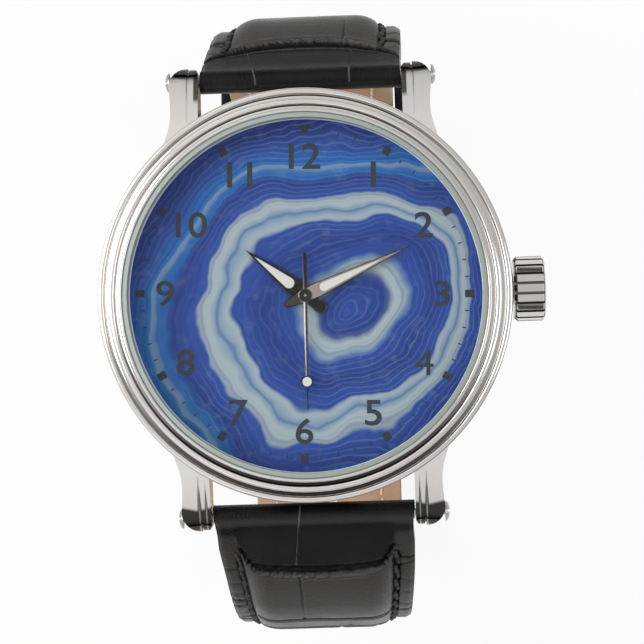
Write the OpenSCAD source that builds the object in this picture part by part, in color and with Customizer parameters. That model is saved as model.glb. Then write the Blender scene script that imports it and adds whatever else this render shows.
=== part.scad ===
// Analog wristwatch with a stepped bezel, fluted crown and padded leather strap.
// The hand axis is Z, the dial faces +Z, 3 o'clock is +X and 12 o'clock is +Y.
// The origin is the centre of the case back's flat outer face.

/* [Case band] */
// Diameter of the movement, which the case is built round
movement_d = 30; // [26.5:0.1:34]
// Width of the ring that holds the movement in the case
holder_w = 2.85; // [2:0.05:4]
// How far the case lip reaches over the dial's edge
lip_over = 0.7; // [0.5:0.05:0.9]
// Width of the neck that the bezel is pressed onto
neck_w = 1.6; // [1.4:0.05:1.9]
// Width of the shoulder that the bezel sits on
shoulder_w = 0.9; // [0.7:0.05:1.2]
// Height of the neck above the dial's face
neck_h = 1.7; // [1.5:0.1:2]
// Depth of the shoulder below the top of the neck
shoulder_drop = 0.9; // [0.7:0.05:1.2]
// How far the band draws in from its widest place to its lower edge
band_draft = 0.7; // [0.5:0.05:0.9]
// Height of the band's lower edge above the case back's flat face
band_bottom_z = 0.6; // [0.4:0.1:0.8]
// Height where the band's side turns vertical
band_bulge_z = 3.4; // [2.6:0.1:4.2]

/* [Bezel and crystal] */
// How far the bezel stands out past the band
bezel_over = 0.2; // [0.1:0.05:0.5]
// Width of the outer, middle and inner ring of the bezel
bezel_ring_w = [0.6, 0.6, 0.4]; // [0.3:0.05:0.8]
// Width of the outer and inner groove between the rings
bezel_groove_w = [0.45, 0.35]; // [0.2:0.05:0.6]
// Height of each ring's crest above the shoulder, from the outer ring to the inner
bezel_crest = [1.6, 2.05, 2.3]; // [1.2:0.05:2.6]
// Depth of the grooves below the ring outside them
bezel_groove_depth = 0.32; // [0.15:0.01:0.4]
// Thickness of the crystal
crystal_t = 1.6; // [1.4:0.1:1.8]
// Width of the ground bevel round the crystal
crystal_bevel = 0.45; // [0.2:0.05:0.6]
// Width of the crystal's gasket
crystal_gasket_w = 0.35; // [0.25:0.05:0.4]
// Width of the dial ring at its foot
dial_ring_w = 0.29; // [0.2:0.01:0.4]

/* [Lugs] */
// Gap between the lugs, the strap width
lug_gap = 20; // [18:1:22]
// Width of a lug at its tip
lug_w = 2.9; // [2.5:0.1:3.2]
// How far the lug tips reach past the band
lug_l = 3.05; // [2.8:0.05:3.6]
// Radius of the lug tip seen from the side
lug_tip_r = 1.6; // [1.5:0.05:1.8]
// Radius of the lug's long top curve
lug_top_r = 29; // [24:1:40]
// Width of the narrow strip along the lug's inner side
lug_strip_w = 0.9; // [0.7:0.05:1.1]
// Width of the line that divides the strip from the lug's broad face
lug_line_w = 0.14; // [0.1:0.02:0.2]
// How far the line is cut into the lug
lug_line_depth = 0.3; // [0.15:0.05:0.4]
// Distance of the strap bars from the lug tips
bar_setback = 1.35; // [1.2:0.05:1.5]
// Height of the strap bars
bar_z = 1.7; // [1.6:0.05:1.8]
// Diameter of a strap bar between the lugs
bar_d = 1.3; // [1.1:0.05:1.4]
// Diameter of the shank of a lug screw
lug_screw_d = 0.7; // [0.6:0.05:0.8]
// Diameter of the domed head of a lug screw
lug_screw_head_d = 2; // [1.6:0.1:2.2]
// Height of the domed head of a lug screw
lug_screw_head_h = 0.45; // [0.3:0.05:0.6]

/* [Case back] */
// Thickness of the case back's plate
back_t = 1; // [0.9:0.05:1.1]
// Width of the band's lower edge round the case back
band_foot_w = 0.4; // [0.3:0.05:0.5]
// Diameter of the flat centre of the case back
back_flat_d = 31; // [26:1:34]
// Width of the case back's gasket, between the snap rim and the case
back_gasket_w = 0.36; // [0.3:0.02:0.5]
// Width of the snap rim
back_rim_w = 0.7; // [0.5:0.05:0.9]
// Height of the snap rim above the plate
back_rim_h = 1.2; // [1:0.1:1.25]

/* [Crown and stem] */
// Diameter of the crown over its ridges
crown_d = 6.3; // [5.6:0.1:6.6]
// Length of the crown
crown_l = 3.15; // [2.8:0.05:3.6]
// Number of grooves round the crown
crown_grooves = 20; // [14:1:24]
// Width of a crown groove
crown_groove_w = 0.28; // [0.2:0.02:0.36]
// Depth of a crown groove
crown_groove_depth = 0.28; // [0.15:0.01:0.35]
// Gap between the case band and the pushed-in crown
crown_gap = 0.35; // [0.2:0.05:0.5]
// Travel of the crown to the hand-setting position
crown_travel = 1; // [0.8:0.1:1.1]
// Height of the stem's axis above the main plate's lower face
stem_rise = 0.1; // [0.05:0.01:0.15]
// Diameter of the stem
stem_d = 0.9; // [0.8:0.05:1]
// Outer diameter of the crown tube
crown_tube_d = 2.4; // [2.2:0.1:2.6]

/* [Dial and hands] */
// Thickness of the dial
dial_t = 0.4; // [0.3:0.05:0.45]
// Diameter of the hole in the dial
dial_hole_d = 1.7; // [1.5:0.1:2]
// Length of the hour hand from the axis
hour_l = 7.45; // [6.5:0.05:9]
// Greatest width of the hour hand
hour_w = 1.85; // [1.4:0.05:2.2]
// Length of the hour hand's tail
hour_tail = 2.4; // [1.8:0.1:3]
// Length of the minute hand from the axis
minute_l = 11.4; // [10:0.1:13]
// Greatest width of the minute hand
minute_w = 1.5; // [1.2:0.05:1.8]
// Length of the minute hand's tail
minute_tail = 2.3; // [1.8:0.1:3]
// Length of the seconds hand from the axis
second_l = 11.3; // [10:0.1:14]
// Length of the seconds hand's tail
second_tail = 4.15; // [3:0.05:5]
// Width of the seconds hand
second_w = 0.26; // [0.2:0.02:0.36]
// Distance of the seconds hand's luminous dot from the axis
second_dot_at = 8.35; // [6:0.05:9.5]
// Diameter of the seconds hand's luminous dot
second_dot_d = 1.04; // [0.7:0.02:1.2]
// Thickness of the hands
hand_t = 0.16; // [0.12:0.01:0.18]
// Clockwise angles of the hour, minute and seconds hands from 12 o'clock
hand_angles = [308.6, 66, 180]; // [0:0.1:360]

/* [Movement] */
// Thickness of the main plate
plate_t = 0.6; // [0.5:0.05:0.7]
// Height of the space for the train, from the plate's rim to the plate
train_h = 2; // [1.75:0.05:2.3]
// Height of the space between the main plate and the dial
under_dial_h = 0.7; // [0.6:0.05:0.9]
// Diameter of the battery
battery_d = 9.5; // [7.9:0.1:9.5]
// Thickness of the battery
battery_t = 2; // [1.6:0.05:2.05]
// Thickness of the train wheels
wheel_t = 0.15; // [0.1:0.01:0.18]
// Gear module of the seconds and third wheel train
module_slow = 0.1; // [0.09:0.002:0.112]
// Gear module of the wheels under the dial
module_dial = 0.11; // [0.098:0.002:0.122]

/* [Strap] */
// Gap between the strap and each lug
strap_side_gap = 0.1; // [0.05:0.05:0.3]
// Width of the strap at the buckle
strap_end_w = 18; // [16:0.5:18]
// Length over which the strap narrows
strap_taper_l = 45; // [30:1:60]
// Radius of the loop of leather round each strap bar
strap_nose_r = 1.2; // [1.1:0.05:1.25]
// Thickness of the strap over its padding
strap_pad_t = 4.5; // [3.5:0.1:5]
// Thickness of the stitched border beside the padding
strap_border_t = 2.6; // [2.4:0.1:3]
// Width of the stitched border
strap_border_w = 3.4; // [2.6:0.1:4]
// Distance from the lug end where the padding has run out
strap_pad_l = 28; // [24:1:30]
// Thickness of the lining
lining_t = 0.7; // [0.5:0.05:0.8]
// Thickness of the buckle half where it meets the buckle
buckle_half_t = 2; // [1.9:0.05:2.1]
// Thickness of the tail with the holes
tail_t = 1.8; // [1.6:0.05:1.9]
// How much narrower the tail is on each side than the strap at the buckle
tail_inset = 0.5; // [0.3:0.1:1]
// Length of the half with the holes, from its lug end to its tip
tail_half_l = 110; // [104:1:114]
// Number of buckle holes
strap_holes = 7; // [5:1:7]
// Distance between buckle holes
strap_hole_pitch = 6.5; // [6:0.5:7]
// Length of a buckle hole
strap_hole_l = 4; // [3.9:0.1:4.2]
// Width of a buckle hole
strap_hole_w = 1.9; // [1.8:0.1:2.2]

/* [Strap loop] */
// Depth of the loop's inside below the strap bars
loop_depth = 48.7; // [46:0.1:52]
// Steepness of the 12 o'clock half where it leaves the lugs
rise_12 = 60; // [54:1:64]
// Steepness of the 6 o'clock half where it leaves the lugs
rise_6 = 33; // [30:1:40]
// Inner radius of the shoulder of the 12 o'clock half
shoulder_r_12 = 24.2; // [20:0.1:28]
// Inner radius of the shoulder of the 6 o'clock half
shoulder_r_6 = 20; // [18:0.1:22]
// Inner radius of the loop's long flanks
flank_r = 85; // [75:1:95]
// Turn of the 12 o'clock flank
flank_turn_12 = 18; // [16:0.5:19]
// Turn of the 6 o'clock flank
flank_turn_6 = 14; // [12:0.5:15]

/* [Buckle and keepers] */
// Distance of the buckle bar past the hand axis, toward 6 o'clock
buckle_bar_at = 1.5; // [0.5:0.1:2]
// Diameter of the buckle bar
buckle_bar_d = 1; // [0.9:0.05:1.05]
// Distance from the buckle bar to the buckle's cross bar
buckle_l = 11.2; // [10.8:0.1:12]
// Gap between the strap and each side of the buckle
buckle_side_gap = 0.3; // [0.2:0.05:0.5]
// Width of a side of the buckle
buckle_side_w = 1.6; // [1.2:0.1:2]
// Diameter of the buckle's cross bar
cross_bar_d = 1.8; // [1.6:0.1:2]
// Thickness of the tang
tang_t = 0.8; // [0.7:0.05:0.9]
// Width of the tang
tang_w = 1.5; // [1.3:0.1:1.6]
// Width of a keeper along the strap
keeper_l = 5; // [4:0.5:6]
// Thickness of a keeper's leather
keeper_t = 1.2; // [1:0.1:1.4]
// Travel of the sliding keeper along the strap
keeper_travel = 6; // [4:0.5:6]

/* [Fits] */
// Clearance of a pressed or seated round fit
seat_gap = 0.02; // [0.01:0.01:0.03]
// Clearance between a turning arbor and its hole
arbor_gap = 0.02; // [0.015:0.005:0.03]
// Clearance of the strap's and buckle's hinges
hinge_gap = 0.04; // [0.03:0.01:0.06]
// Clearance between layers of leather that slide on each other
leather_gap = 0.1; // [0.05:0.05:0.15]

/* [Hidden] */
$fn = 96;

// Heights, from the case back up
plate_foot_z = back_t + 0.5;
plate_z = plate_foot_z + train_h;
plate_top_z = plate_z + plate_t;
dial_back_z = plate_top_z + under_dial_h;
dial_z = dial_back_z + dial_t;
neck_top_z = dial_z + neck_h;
band_top_z = neck_top_z - shoulder_drop;
stem_z = plate_z + stem_rise;

// Case, in radii from the movement out
movement_r = movement_d / 2;
movement_gap = 0.05;
chamber_gap = 0.1;
chamber_r = movement_r + movement_gap + holder_w + chamber_gap;
lip_r = chamber_r - lip_over;
neck_r = lip_r + neck_w;
band_r = neck_r + shoulder_w;
band_foot_r = band_r - band_draft;
bulge_r = (pow(band_bulge_z - band_bottom_z, 2) + pow(band_draft, 2)) / (2 * band_draft);
band_edge = 0.15;

// Bezel, ring by ring from the outside in
bezel_r = band_r + bezel_over;
ring_out = [bezel_r,
  bezel_r - bezel_ring_w[0] - bezel_groove_w[0],
  bezel_r - bezel_ring_w[0] - bezel_groove_w[0] - bezel_ring_w[1] - bezel_groove_w[1]];
ring_in = [for (i = [0:2]) ring_out[i] - bezel_ring_w[i]];
ring_top = [for (i = [0:2]) band_top_z + bezel_crest[i]];
ring_crown = 0.2;
crystal_r = ring_in[2] - 0.05;
crystal_top_z = neck_top_z + crystal_t;
gasket_pocket_r = crystal_r + crystal_gasket_w + 2 * seat_gap;
gasket_cover = 0.5;
gasket_top_z = ring_top[2] - gasket_cover;
bezel_foot_bevel = 0.2;
dial_ring_foot_r = lip_r - seat_gap - dial_ring_w;
dial_ring_top_r = dial_ring_foot_r + 0.06;

// Lugs
lug_in = lug_gap / 2;
lug_out = lug_in + lug_w;
lug_reach = band_r + lug_l;
bar_y = lug_reach - bar_setback;
lug_tip = [lug_reach - lug_tip_r, bar_z + 0.05];
lug_root = [lug_reach - 8.85, band_top_z - 0.03];
lug_root_y = lug_root[0] - 1.5;
lug_root_rise = 0.7;
lug_nose = [[0, -0.6], [0.25, -0.15], [0.6, 0]];
lug_waist = 0.22;
lug_flare = 1.5;
lug_plan_r = 1.95;
lug_strip_drop = 0.12;
bar_r = bar_d / 2;
lug_hole_r = lug_screw_d / 2 + 0.05;
lug_screw_reach = 2.4;
bar_end_gap = 0.05;
screw_slot_w = 0.28;
screw_slot_depth = 0.22;

// Case back
back_r = band_foot_r - band_foot_w;
back_edge_z = 0.3;
back_rim_r = chamber_r - back_gasket_w - 2 * seat_gap;
back_top_z = back_t + back_rim_h;
back_gasket_h = 0.7;

// Crown and stem
crown_r = crown_d / 2;
crown_x = band_r + crown_gap;
crown_end_x = crown_x + crown_l;
crown_bevel = 0.35;
crown_tube_r = crown_tube_d / 2;
crown_cap_t = 1.3;
crown_bore_depth = crown_l - crown_cap_t;
crown_tube_end_x = crown_x + crown_bore_depth - 0.4;
crown_bore_r = crown_tube_r + 0.35;
crown_gasket_h = 0.5;
crown_gasket_x = crown_x + 0.2;
stem_seat_end_x = crown_end_x - 0.6;
stem_r = stem_d / 2;
stem_square = stem_d * 0.62;
stem_groove_r = stem_r - 0.2;
stem_groove_l = 0.6;

// Movement, dial and hands
plate_wall_w = 1.6;
plate_wall_r = movement_r - plate_wall_w;
dial_rim_w = 0.8;
dial_foot_at = [movement_r - 1.4, 62];
dial_foot_r = 0.35;
bridge_z = plate_foot_z - 0.05;
bridge_t = 0.35;
bridge_top_z = bridge_z + bridge_t;
pillar_r = 0.9;
bridge_screw_at = [[5.2, 3.6], [-5.4, 0.4], [0.6, -7.3]];
bridge_screw_r = 0.35;
bridge_screw_head_r = 0.65;
bridge_screw_head_h = 0.3;
bridge_screw_slot_w = 0.16;

// Height of a tooth above the pitch circle and depth below it, in modules
gear_tip = 0.85;
gear_root = 1.15;

// Teeth of the train: each wheel and pinion
rotor_teeth = 6;
fifth_teeth = 36;
fifth_pinion_teeth = 8;
fourth_teeth = 40;
fourth_pinion_teeth = 8;
third_teeth = 60;
third_pinion_teeth = 8;
centre_teeth = 64;
cannon_teeth = 10;
minute_teeth = 30;
minute_pinion_teeth = 8;
hour_teeth = 32;
setting_teeth = 32;

// Places of the arbors, each from the arbor before it
third_angle = -45;
fifth_angle = 100;
rotor_angle = 150;
minute_angle = 20;
third_dist = module_slow * (fourth_pinion_teeth + third_teeth) / 2;
module_centre = 2 * third_dist / (third_pinion_teeth + centre_teeth);
fifth_arbor_r = 0.22;
fifth_dist = module_centre * (centre_teeth / 2 + gear_tip) + fifth_arbor_r + 0.16;
module_fast = 2 * fifth_dist / (fourth_teeth + fifth_pinion_teeth);
rotor_dist = module_fast * (fifth_teeth + rotor_teeth) / 2;
minute_dist = module_dial * (cannon_teeth + minute_teeth) / 2;
setting_dist = module_dial * (minute_teeth + setting_teeth) / 2;
third_at = third_dist * [cos(third_angle), sin(third_angle)];
fifth_at = fifth_dist * [cos(fifth_angle), sin(fifth_angle)];
rotor_at = fifth_at + rotor_dist * [cos(rotor_angle), sin(rotor_angle)];
minute_at = minute_dist * [cos(minute_angle), sin(minute_angle)];
setting_at = [minute_at[0] + sqrt(pow(setting_dist, 2) - pow(minute_at[1], 2)), 0];
setting_angle = atan2(-minute_at[1], setting_at[0] - minute_at[0]);

// Levels of the train, from the bridge up
fourth_z = bridge_top_z + 0.25;
fourth_pinion_z = fourth_z + 0.2;
third_z = fourth_z + 0.35;
third_pinion_z = third_z + 0.2;
fifth_pinion_z = fourth_z - 0.1;
fifth_z = third_z + 0.35;
centre_z = fifth_z + 0.2;
magnet_z = bridge_top_z + 0.15;
magnet_h = 0.55;
magnet_r = 0.75;
rotor_pinion_z = fifth_z - 0.15;
minute_z = plate_top_z + 0.1;
hour_wheel_z = minute_z + 0.3;
pivot_r = 0.12;
fourth_arbor_r = 0.15;
pipe_r = 0.4;
hour_pipe_r = 0.65;
stud_r = 0.18;
arbor_r = 0.2;
end_shake = 0.05;
wheel_rim = 2.4;
wheel_hub_r = 0.55;

// Levels of the hands
hour_z = dial_z + 0.35;
minute_hand_z = hour_z + hand_t + 0.22;
second_z = minute_hand_z + hand_t + 0.22;
hub_r = 0.67;
collet_drop = 0.16;
hour_collet_r = 0.95;
minute_collet_r = 0.72;
lume_gap = 0.01;
lume_sink = 0.02;
second_dot_rim = 0.08;

// Setting work
setting_tip_x = setting_at[0] + module_dial * (setting_teeth / 2 + 1);
pinion_x = setting_tip_x + 0.3;
pinion_l = 1.3;
pinion_r = 0.85;
stem_end_x = pinion_x - 0.35;
stem_groove_x = pinion_x + pinion_l + 1.3;
lever_pivot = [stem_groove_x + stem_groove_l / 2 + crown_travel / 2, 2.9];
lever_pin_r = 0.2;
lever_pin_y = stem_groove_r + lever_pin_r + 0.08;
lever_z = plate_top_z + 0.06;
lever_t = 0.25;
lever_boss_r = 0.7;
lever_stud_r = 0.3;
lever_arm_w = 0.8;
stem_slot_w = 2.3;

// Coil and stator, set out along the line from the hand axis past the rotor
stator_turn = atan2(rotor_at[1], rotor_at[0]) - 90;
stator_z = magnet_z - 0.02;
stator_t = 0.4;
stator_l = movement_r - 2;
stator_w = 3.1;
stator_arm_w = 2.2;
stator_reach = sqrt(pow(plate_wall_r - 0.87, 2) - pow(stator_l / 2, 2));
core_w = 0.8;
core_t = 0.4;
core_z = stator_z + stator_t;
coil_at = stator_reach - core_w;
coil_flange_t = 0.3;
coil_l = stator_l - 2 * stator_arm_w - 2 * coil_flange_t - 0.2;
coil_r = plate_z - core_z - core_t / 2 - 0.07;
battery_angle = -133.2;
battery_at = at_angle(movement_r - battery_d / 2 - 0.5, battery_angle);
battery_z = plate_z - battery_t;
battery_gap = 0.1;
clamp_t = 0.13;
clamp_w = 2.4;
board_z = bridge_top_z;
board_t = 0.25;
board_from = 7.4;
board_w = plate_wall_r - 0.4 - board_from;
board_start = -74;
board_turn = 58;
board_mid_r = board_from + board_w / 2;
can_r = (plate_z - board_z - board_t - 0.05) / 2;
can_l = 5.2;

// Strap
strap_w = lug_gap - 2 * strap_side_gap;
strap_bore_r = bar_r + hinge_gap;
buckle_nose_r = buckle_half_t / 2;
tail_w = strap_end_w - 2 * tail_inset;
straight_l = 2.2 * strap_nose_r;
loop_floor_z = bar_z - loop_depth;
layer_step = buckle_half_t + leather_gap;
lining_from = 2 * strap_nose_r + 1.2;
pad_rise = [2.6, 8];
pad_fall = 14;
pad_ramp = 2.4;
seam_gap = 0.01;
station_l = 2.4;
cross_turn = 36;
cross_r = layer_step / (2 * (1 - cos(cross_turn)));
cross_run = 2 * cross_r * sin(cross_turn);
cross_end_y = -buckle_bar_at + 0.45;
hole_in_use = 3;
tail_tip_l = 9;
notch_gap = 0.3;
notch_run = 1.1;
lining_stop = 2.4;

function smooth(x) = x <= 0 ? 0 : x >= 1 ? 1 : x * x * (3 - 2 * x);
function arc_l(r, turn) = r * turn * PI / 180;
function at_angle(r, a) = [r * cos(a), r * sin(a)];

// A strap half is a chain of runs, each [length, turn], from [y, z, heading].
// A heading of 0 is outward and 90 is down.
function run_end(p, l, turn) = abs(turn) < 0.001
  ? [p[0] + l * cos(p[2]), p[1] - l * sin(p[2]), p[2]]
  : let (r = l / (turn * PI / 180))
    [p[0] + r * (sin(p[2] + turn) - sin(p[2])), p[1] + r * (cos(p[2] + turn) - cos(p[2])), p[2] + turn];
function walk(chain, p, s, i = 0) = s <= chain[i][0] || i == len(chain) - 1
  ? run_end(p, s, chain[i][1] * s / chain[i][0])
  : walk(chain, run_end(p, chain[i][0], chain[i][1]), s - chain[i][0], i + 1);
function total(chain, i = 0) = i == len(chain) ? 0 : chain[i][0] + total(chain, i + 1);
function nose_start(rise) = [bar_y - strap_nose_r * (cos(rise) + sin(rise)),
  bar_z - strap_nose_r * (cos(rise) - sin(rise)), rise];
function flanks(rise, shoulder_r, flank_turn) = [[straight_l, 0],
  [arc_l(shoulder_r, 90 - rise), 90 - rise], [arc_l(flank_r, flank_turn), flank_turn]];

start_12 = nose_start(rise_12);
start_6 = nose_start(rise_6);
flanks_12 = flanks(rise_12, shoulder_r_12, flank_turn_12);
flanks_6 = flanks(rise_6, shoulder_r_6, flank_turn_6);
flank_end_12 = walk(flanks_12, start_12, total(flanks_12));
flank_end_6 = walk(flanks_6, start_6, total(flanks_6));
corner_r_12 = (flank_end_12[1] - loop_floor_z) / (1 + cos(flank_end_12[2]));
corner_r_6 = (flank_end_6[1] - loop_floor_z) / (1 + cos(flank_end_6[2]));
corner_y_12 = flank_end_12[0] - corner_r_12 * sin(flank_end_12[2]);
corner_y_6 = flank_end_6[0] - corner_r_6 * sin(flank_end_6[2]);
corner_turn_12 = 90 - flank_turn_12;
corner_turn_6 = 90 - flank_turn_6;
chain_12 = concat(flanks_12, [[arc_l(corner_r_12, corner_turn_12), corner_turn_12],
  [corner_y_12 + buckle_bar_at + buckle_nose_r, 0]]);
half_l_12 = total(chain_12);
cross_start_y = cross_end_y - cross_run;
chain_6 = concat(flanks_6, [[arc_l(corner_r_6, corner_turn_6), corner_turn_6],
  [corner_y_6 + cross_start_y, 0],
  [arc_l(cross_r, cross_turn), -cross_turn], [arc_l(cross_r, cross_turn), cross_turn],
  [corner_y_12 - cross_end_y, 0],
  [arc_l(corner_r_12 + layer_step, corner_turn_12), corner_turn_12],
  [arc_l(flank_r + layer_step, flank_turn_12), flank_turn_12]]);
used_hole_s = total([for (i = [0:5]) chain_6[i]]);
keeper_s = total(flanks_12) - keeper_l / 2 - 1.2;
sliding_keeper_gap = 0.35;
keeper_side_gap = 0.15;
fixed_keeper_y = 4.2;
fixed_keeper_s = half_l_12 - buckle_nose_r - buckle_bar_at - fixed_keeper_y;
buckle_y = -buckle_bar_at;
buckle_z = loop_floor_z - buckle_nose_r;
cross_bar_r = cross_bar_d / 2;
keeper_in_t = buckle_half_t + leather_gap + tail_t;
foot_z = loop_floor_z - keeper_in_t - leather_gap - keeper_t;
tang_seat = 0.4;
tang_from = [buckle_y, buckle_z + 0.1];
tang_rest = [buckle_y - buckle_l, foot_z + tang_t / 2 + 0.35];
cross_bar_at = [tang_rest[0], tang_rest[1] + tang_t / 2 - tang_seat + cross_bar_r];
tang_seat_gap = 0.03;
tang_side_gap = 0.15;
tang_tip_l = 0.9;
tang_ring_w = 0.42;
buckle_eye_w = 0.75;
buckle_arm_inset = 0.12;

// Width of a strap half at a distance from its lug end
function taper(s, end_w) = end_w + (strap_w - end_w) * pow(max(0, 1 - s / strap_taper_l), 1.5);
// Thickness of a half beside its padding
function border_t(s, end_t) = s < strap_pad_l
  ? 2 * strap_nose_r + (strap_border_t - 2 * strap_nose_r) * smooth((s - strap_nose_r) / 4)
    - (strap_border_t - end_t) * smooth((s - pad_fall) / (strap_pad_l - pad_fall))
  : end_t;
// Share of the full padding at a distance from the lug end and across the strap
function padding(s, u, w) = smooth((s - pad_rise[0]) / (pad_rise[1] - pad_rise[0]))
  * (1 - smooth((s - pad_fall) / (strap_pad_l - pad_fall)))
  * smooth((w / 2 - abs(u) - strap_border_w) / pad_ramp);
// How far a round end of radius r has opened at a distance from its tip
function round_end(d, r) = d >= r ? r : sqrt(r * r - pow(r - d, 2));

// A closed solid through equal closed sections, with flat ends
module loft(sections) {
  n = len(sections);
  m = len(sections[0]);
  polyhedron(
    points = [for (s = sections) for (p = s) p],
    faces = concat(
      [[for (j = [m - 1:-1:0]) j]],
      [for (i = [0:n - 2]) for (j = [0:m - 1]) let (k = (j + 1) % m)
        [i * m + j, (i + 1) * m + k, (i + 1) * m + j]],
      [for (i = [0:n - 2]) for (j = [0:m - 1]) let (k = (j + 1) % m)
        [i * m + j, i * m + k, (i + 1) * m + k]],
      [[for (j = [0:m - 1]) (n - 1) * m + j]]),
    convexity = 10);
}

// Distances along a half at which its sections stand, up to its round end or tip
function stations(l, end_l) = let (n = ceil((l - end_l - strap_pad_l) / station_l)) concat(
  [for (a = [10, 25, 40, 55, 70]) strap_nose_r * (1 - cos(a))],
  [strap_nose_r, 2 * strap_nose_r, lining_from - 0.02, lining_from],
  [for (s = [5:1.5:strap_pad_l - 1]) s],
  [for (i = [0:n]) strap_pad_l + (l - end_l - strap_pad_l) * i / n]);
function tip_stations(l, tip_l) = [for (a = [15, 30, 45, 60, 75, 86]) l - tip_l * (1 - sin(a))];
// Width of a half, closed to a rounded tip where it has one
function half_w(s, l, end_w, tip_l) = taper(s, end_w)
  * (s > l - tip_l ? sqrt(1 - pow((s - l + tip_l) / tip_l, 2)) : 1);

// The leather of a half: flat stitched borders and a padded middle that runs out toward the end
module leather_loft(chain, start, l, end_w, end_t, end_r, tip_l) {
  marks = concat(stations(l, max(end_r, tip_l)), end_r > 0
    ? [for (a = [70, 55, 40, 25, 10]) l - end_r * (1 - cos(a))]
    : tip_stations(l, tip_l));
  loft([for (s = marks) let (
      p = walk(chain, start, s),
      w = half_w(s, l, end_w, tip_l),
      ramp = pad_ramp * min(1, w / tail_w),
      ramp_in = w / 2 - strap_border_w * min(1, w / tail_w) - ramp,
      nose = round_end(s, strap_nose_r),
      tip = end_r > 0 ? round_end(l - s, end_r) : end_t / 2,
      low = s < strap_nose_r ? strap_nose_r - nose
        : end_r > 0 && s > l - end_r ? end_r - tip
        : s > lining_from - 0.01 ? lining_t : 0,
      us = concat([w / 2], [for (k = [4:-1:0]) ramp_in + ramp * k / 4],
        [for (k = [0:4]) -ramp_in - ramp * k / 4], [-w / 2]))
    [for (q = concat([[w / 2, low]],
        [for (u = us) let (
            flat = s < strap_nose_r ? strap_nose_r + nose
              : end_r > 0 && s > l - end_r ? end_r + tip
              : border_t(s, end_t),
            full = strap_pad_t - flat)
          [u, flat + full * padding(s, u, w)]],
        [[-w / 2, low]]))
      [q[0], p[0] + q[1] * sin(p[2]), p[1] + q[1] * cos(p[2])]]]);
}

// The lining of a half, against the leather's inner face
module lining_loft(chain, start, l, end_w, end_r, tip_l, lining_l) {
  marks = concat([for (s = concat(stations(l, max(end_r, tip_l)), tip_l > 0 ? tip_stations(l, tip_l) : []))
    if (s >= lining_from && s < lining_l) s], tip_l > 0 ? [] : [lining_l]);
  loft([for (s = marks) let (p = walk(chain, start, s), w = half_w(s, l, end_w, tip_l))
    [for (q = [[w / 2, 0], [w / 2, lining_t - seam_gap], [-w / 2, lining_t - seam_gap], [-w / 2, 0]])
      [q[0], p[0] + q[1] * sin(p[2]), p[1] + q[1] * cos(p[2])]]]);
}

// Places what belongs on a strap half: Y runs along it and Z points out of the loop
module on_strap(chain, start, s, out) {
  p = walk(chain, start, s);
  translate([0, p[0], p[1]])
    rotate([-p[2], 0, 0])
      translate([0, 0, out])
        children();
}

module slot_2d(l, w) {
  square([w, l - w], center = true);
  for (k = [-1, 1])
    translate([0, k * (l - w) / 2])
      circle(d = w, $fn = 32);
}

// A round rod or bore across the watch, along X
module across_x(r, l, y, z) {
  translate([0, y, z])
    rotate([0, 90, 0])
      cylinder(r = r, h = l, center = true);
}

// A rod or bore along X from one x to another, on the stem's axis
module stem_rod(r, x0, x1) {
  translate([x0, 0, stem_z])
    rotate([0, 90, 0])
      cylinder(r = r, h = x1 - x0);
}

module ring(r_out, r_in, z0, z1) {
  translate([0, 0, z0])
    difference() {
      cylinder(r = r_out, h = z1 - z0);
      translate([0, 0, -1])
        cylinder(r = r_in, h = z1 - z0 + 2);
    }
}

// Tooth outline: each tooth is a trapezoid between the root and tip circles.
// One tooth is centred on the phase angle.
function gear_outline(teeth, m, phase) = let (
    pitch = 360 / teeth,
    root = m * (teeth / 2 - gear_root),
    tip = m * (teeth / 2 + gear_tip))
  [for (i = [0:teeth - 1]) for (q = [[root, -0.34], [tip, -0.13], [tip, 0.13], [root, 0.34]])
    at_angle(q[0], phase + pitch * (i + q[1]))];

module gear(teeth, m, phase, z, t) {
  translate([0, 0, z])
    linear_extrude(t)
      polygon(gear_outline(teeth, m, phase));
}

// A train wheel with four round windows between its arms
module wheel(teeth, m, phase, z) {
  rim = m * (teeth / 2 - wheel_rim);
  difference() {
    gear(teeth, m, phase, z, wheel_t);
    for (a = [45:90:315])
      rotate([0, 0, a])
        translate([(rim + wheel_hub_r) / 2, 0, z - 1])
          cylinder(r = (rim - wheel_hub_r) * 0.4, h = 2);
  }
}

// Phase of a gear whose gap meets a tooth that stands on the line of centres at this angle
function facing(angle, teeth) = angle + 180 + 180 / teeth;

// Case
module case_middle() color("silver") {
  difference() {
    union() {
      rotate_extrude()
        polygon(concat([[0, band_bottom_z], [band_foot_r, band_bottom_z]],
          [for (i = [1:8]) let (a = asin((band_bulge_z - band_bottom_z) / bulge_r) * (i / 8 - 1))
            [band_r - bulge_r + bulge_r * cos(a), band_bulge_z + bulge_r * sin(a)]],
          [[band_r, band_top_z - band_edge], [band_r - band_edge, band_top_z],
            [neck_r, band_top_z], [neck_r, neck_top_z], [0, neck_top_z]]));
      for (mx = [0, 1]) for (my = [0, 1])
        mirror([mx, 0, 0]) mirror([0, my, 0])
          lug();
    }
    translate([0, 0, band_bottom_z - 5])
      cylinder(r = chamber_r, h = dial_z - band_bottom_z + 5);
    cylinder(r = lip_r, h = neck_top_z + 1);
    translate([0, 0, back_t - 5])
      cylinder(r = back_r + seat_gap, h = 5);
    stem_rod(crown_tube_r + seat_gap, 0, band_r + 1);
    for (k = [-1, 1])
      across_x(lug_hole_r, 2 * lug_out + 4, k * bar_y, bar_z);
  }
}

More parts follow.
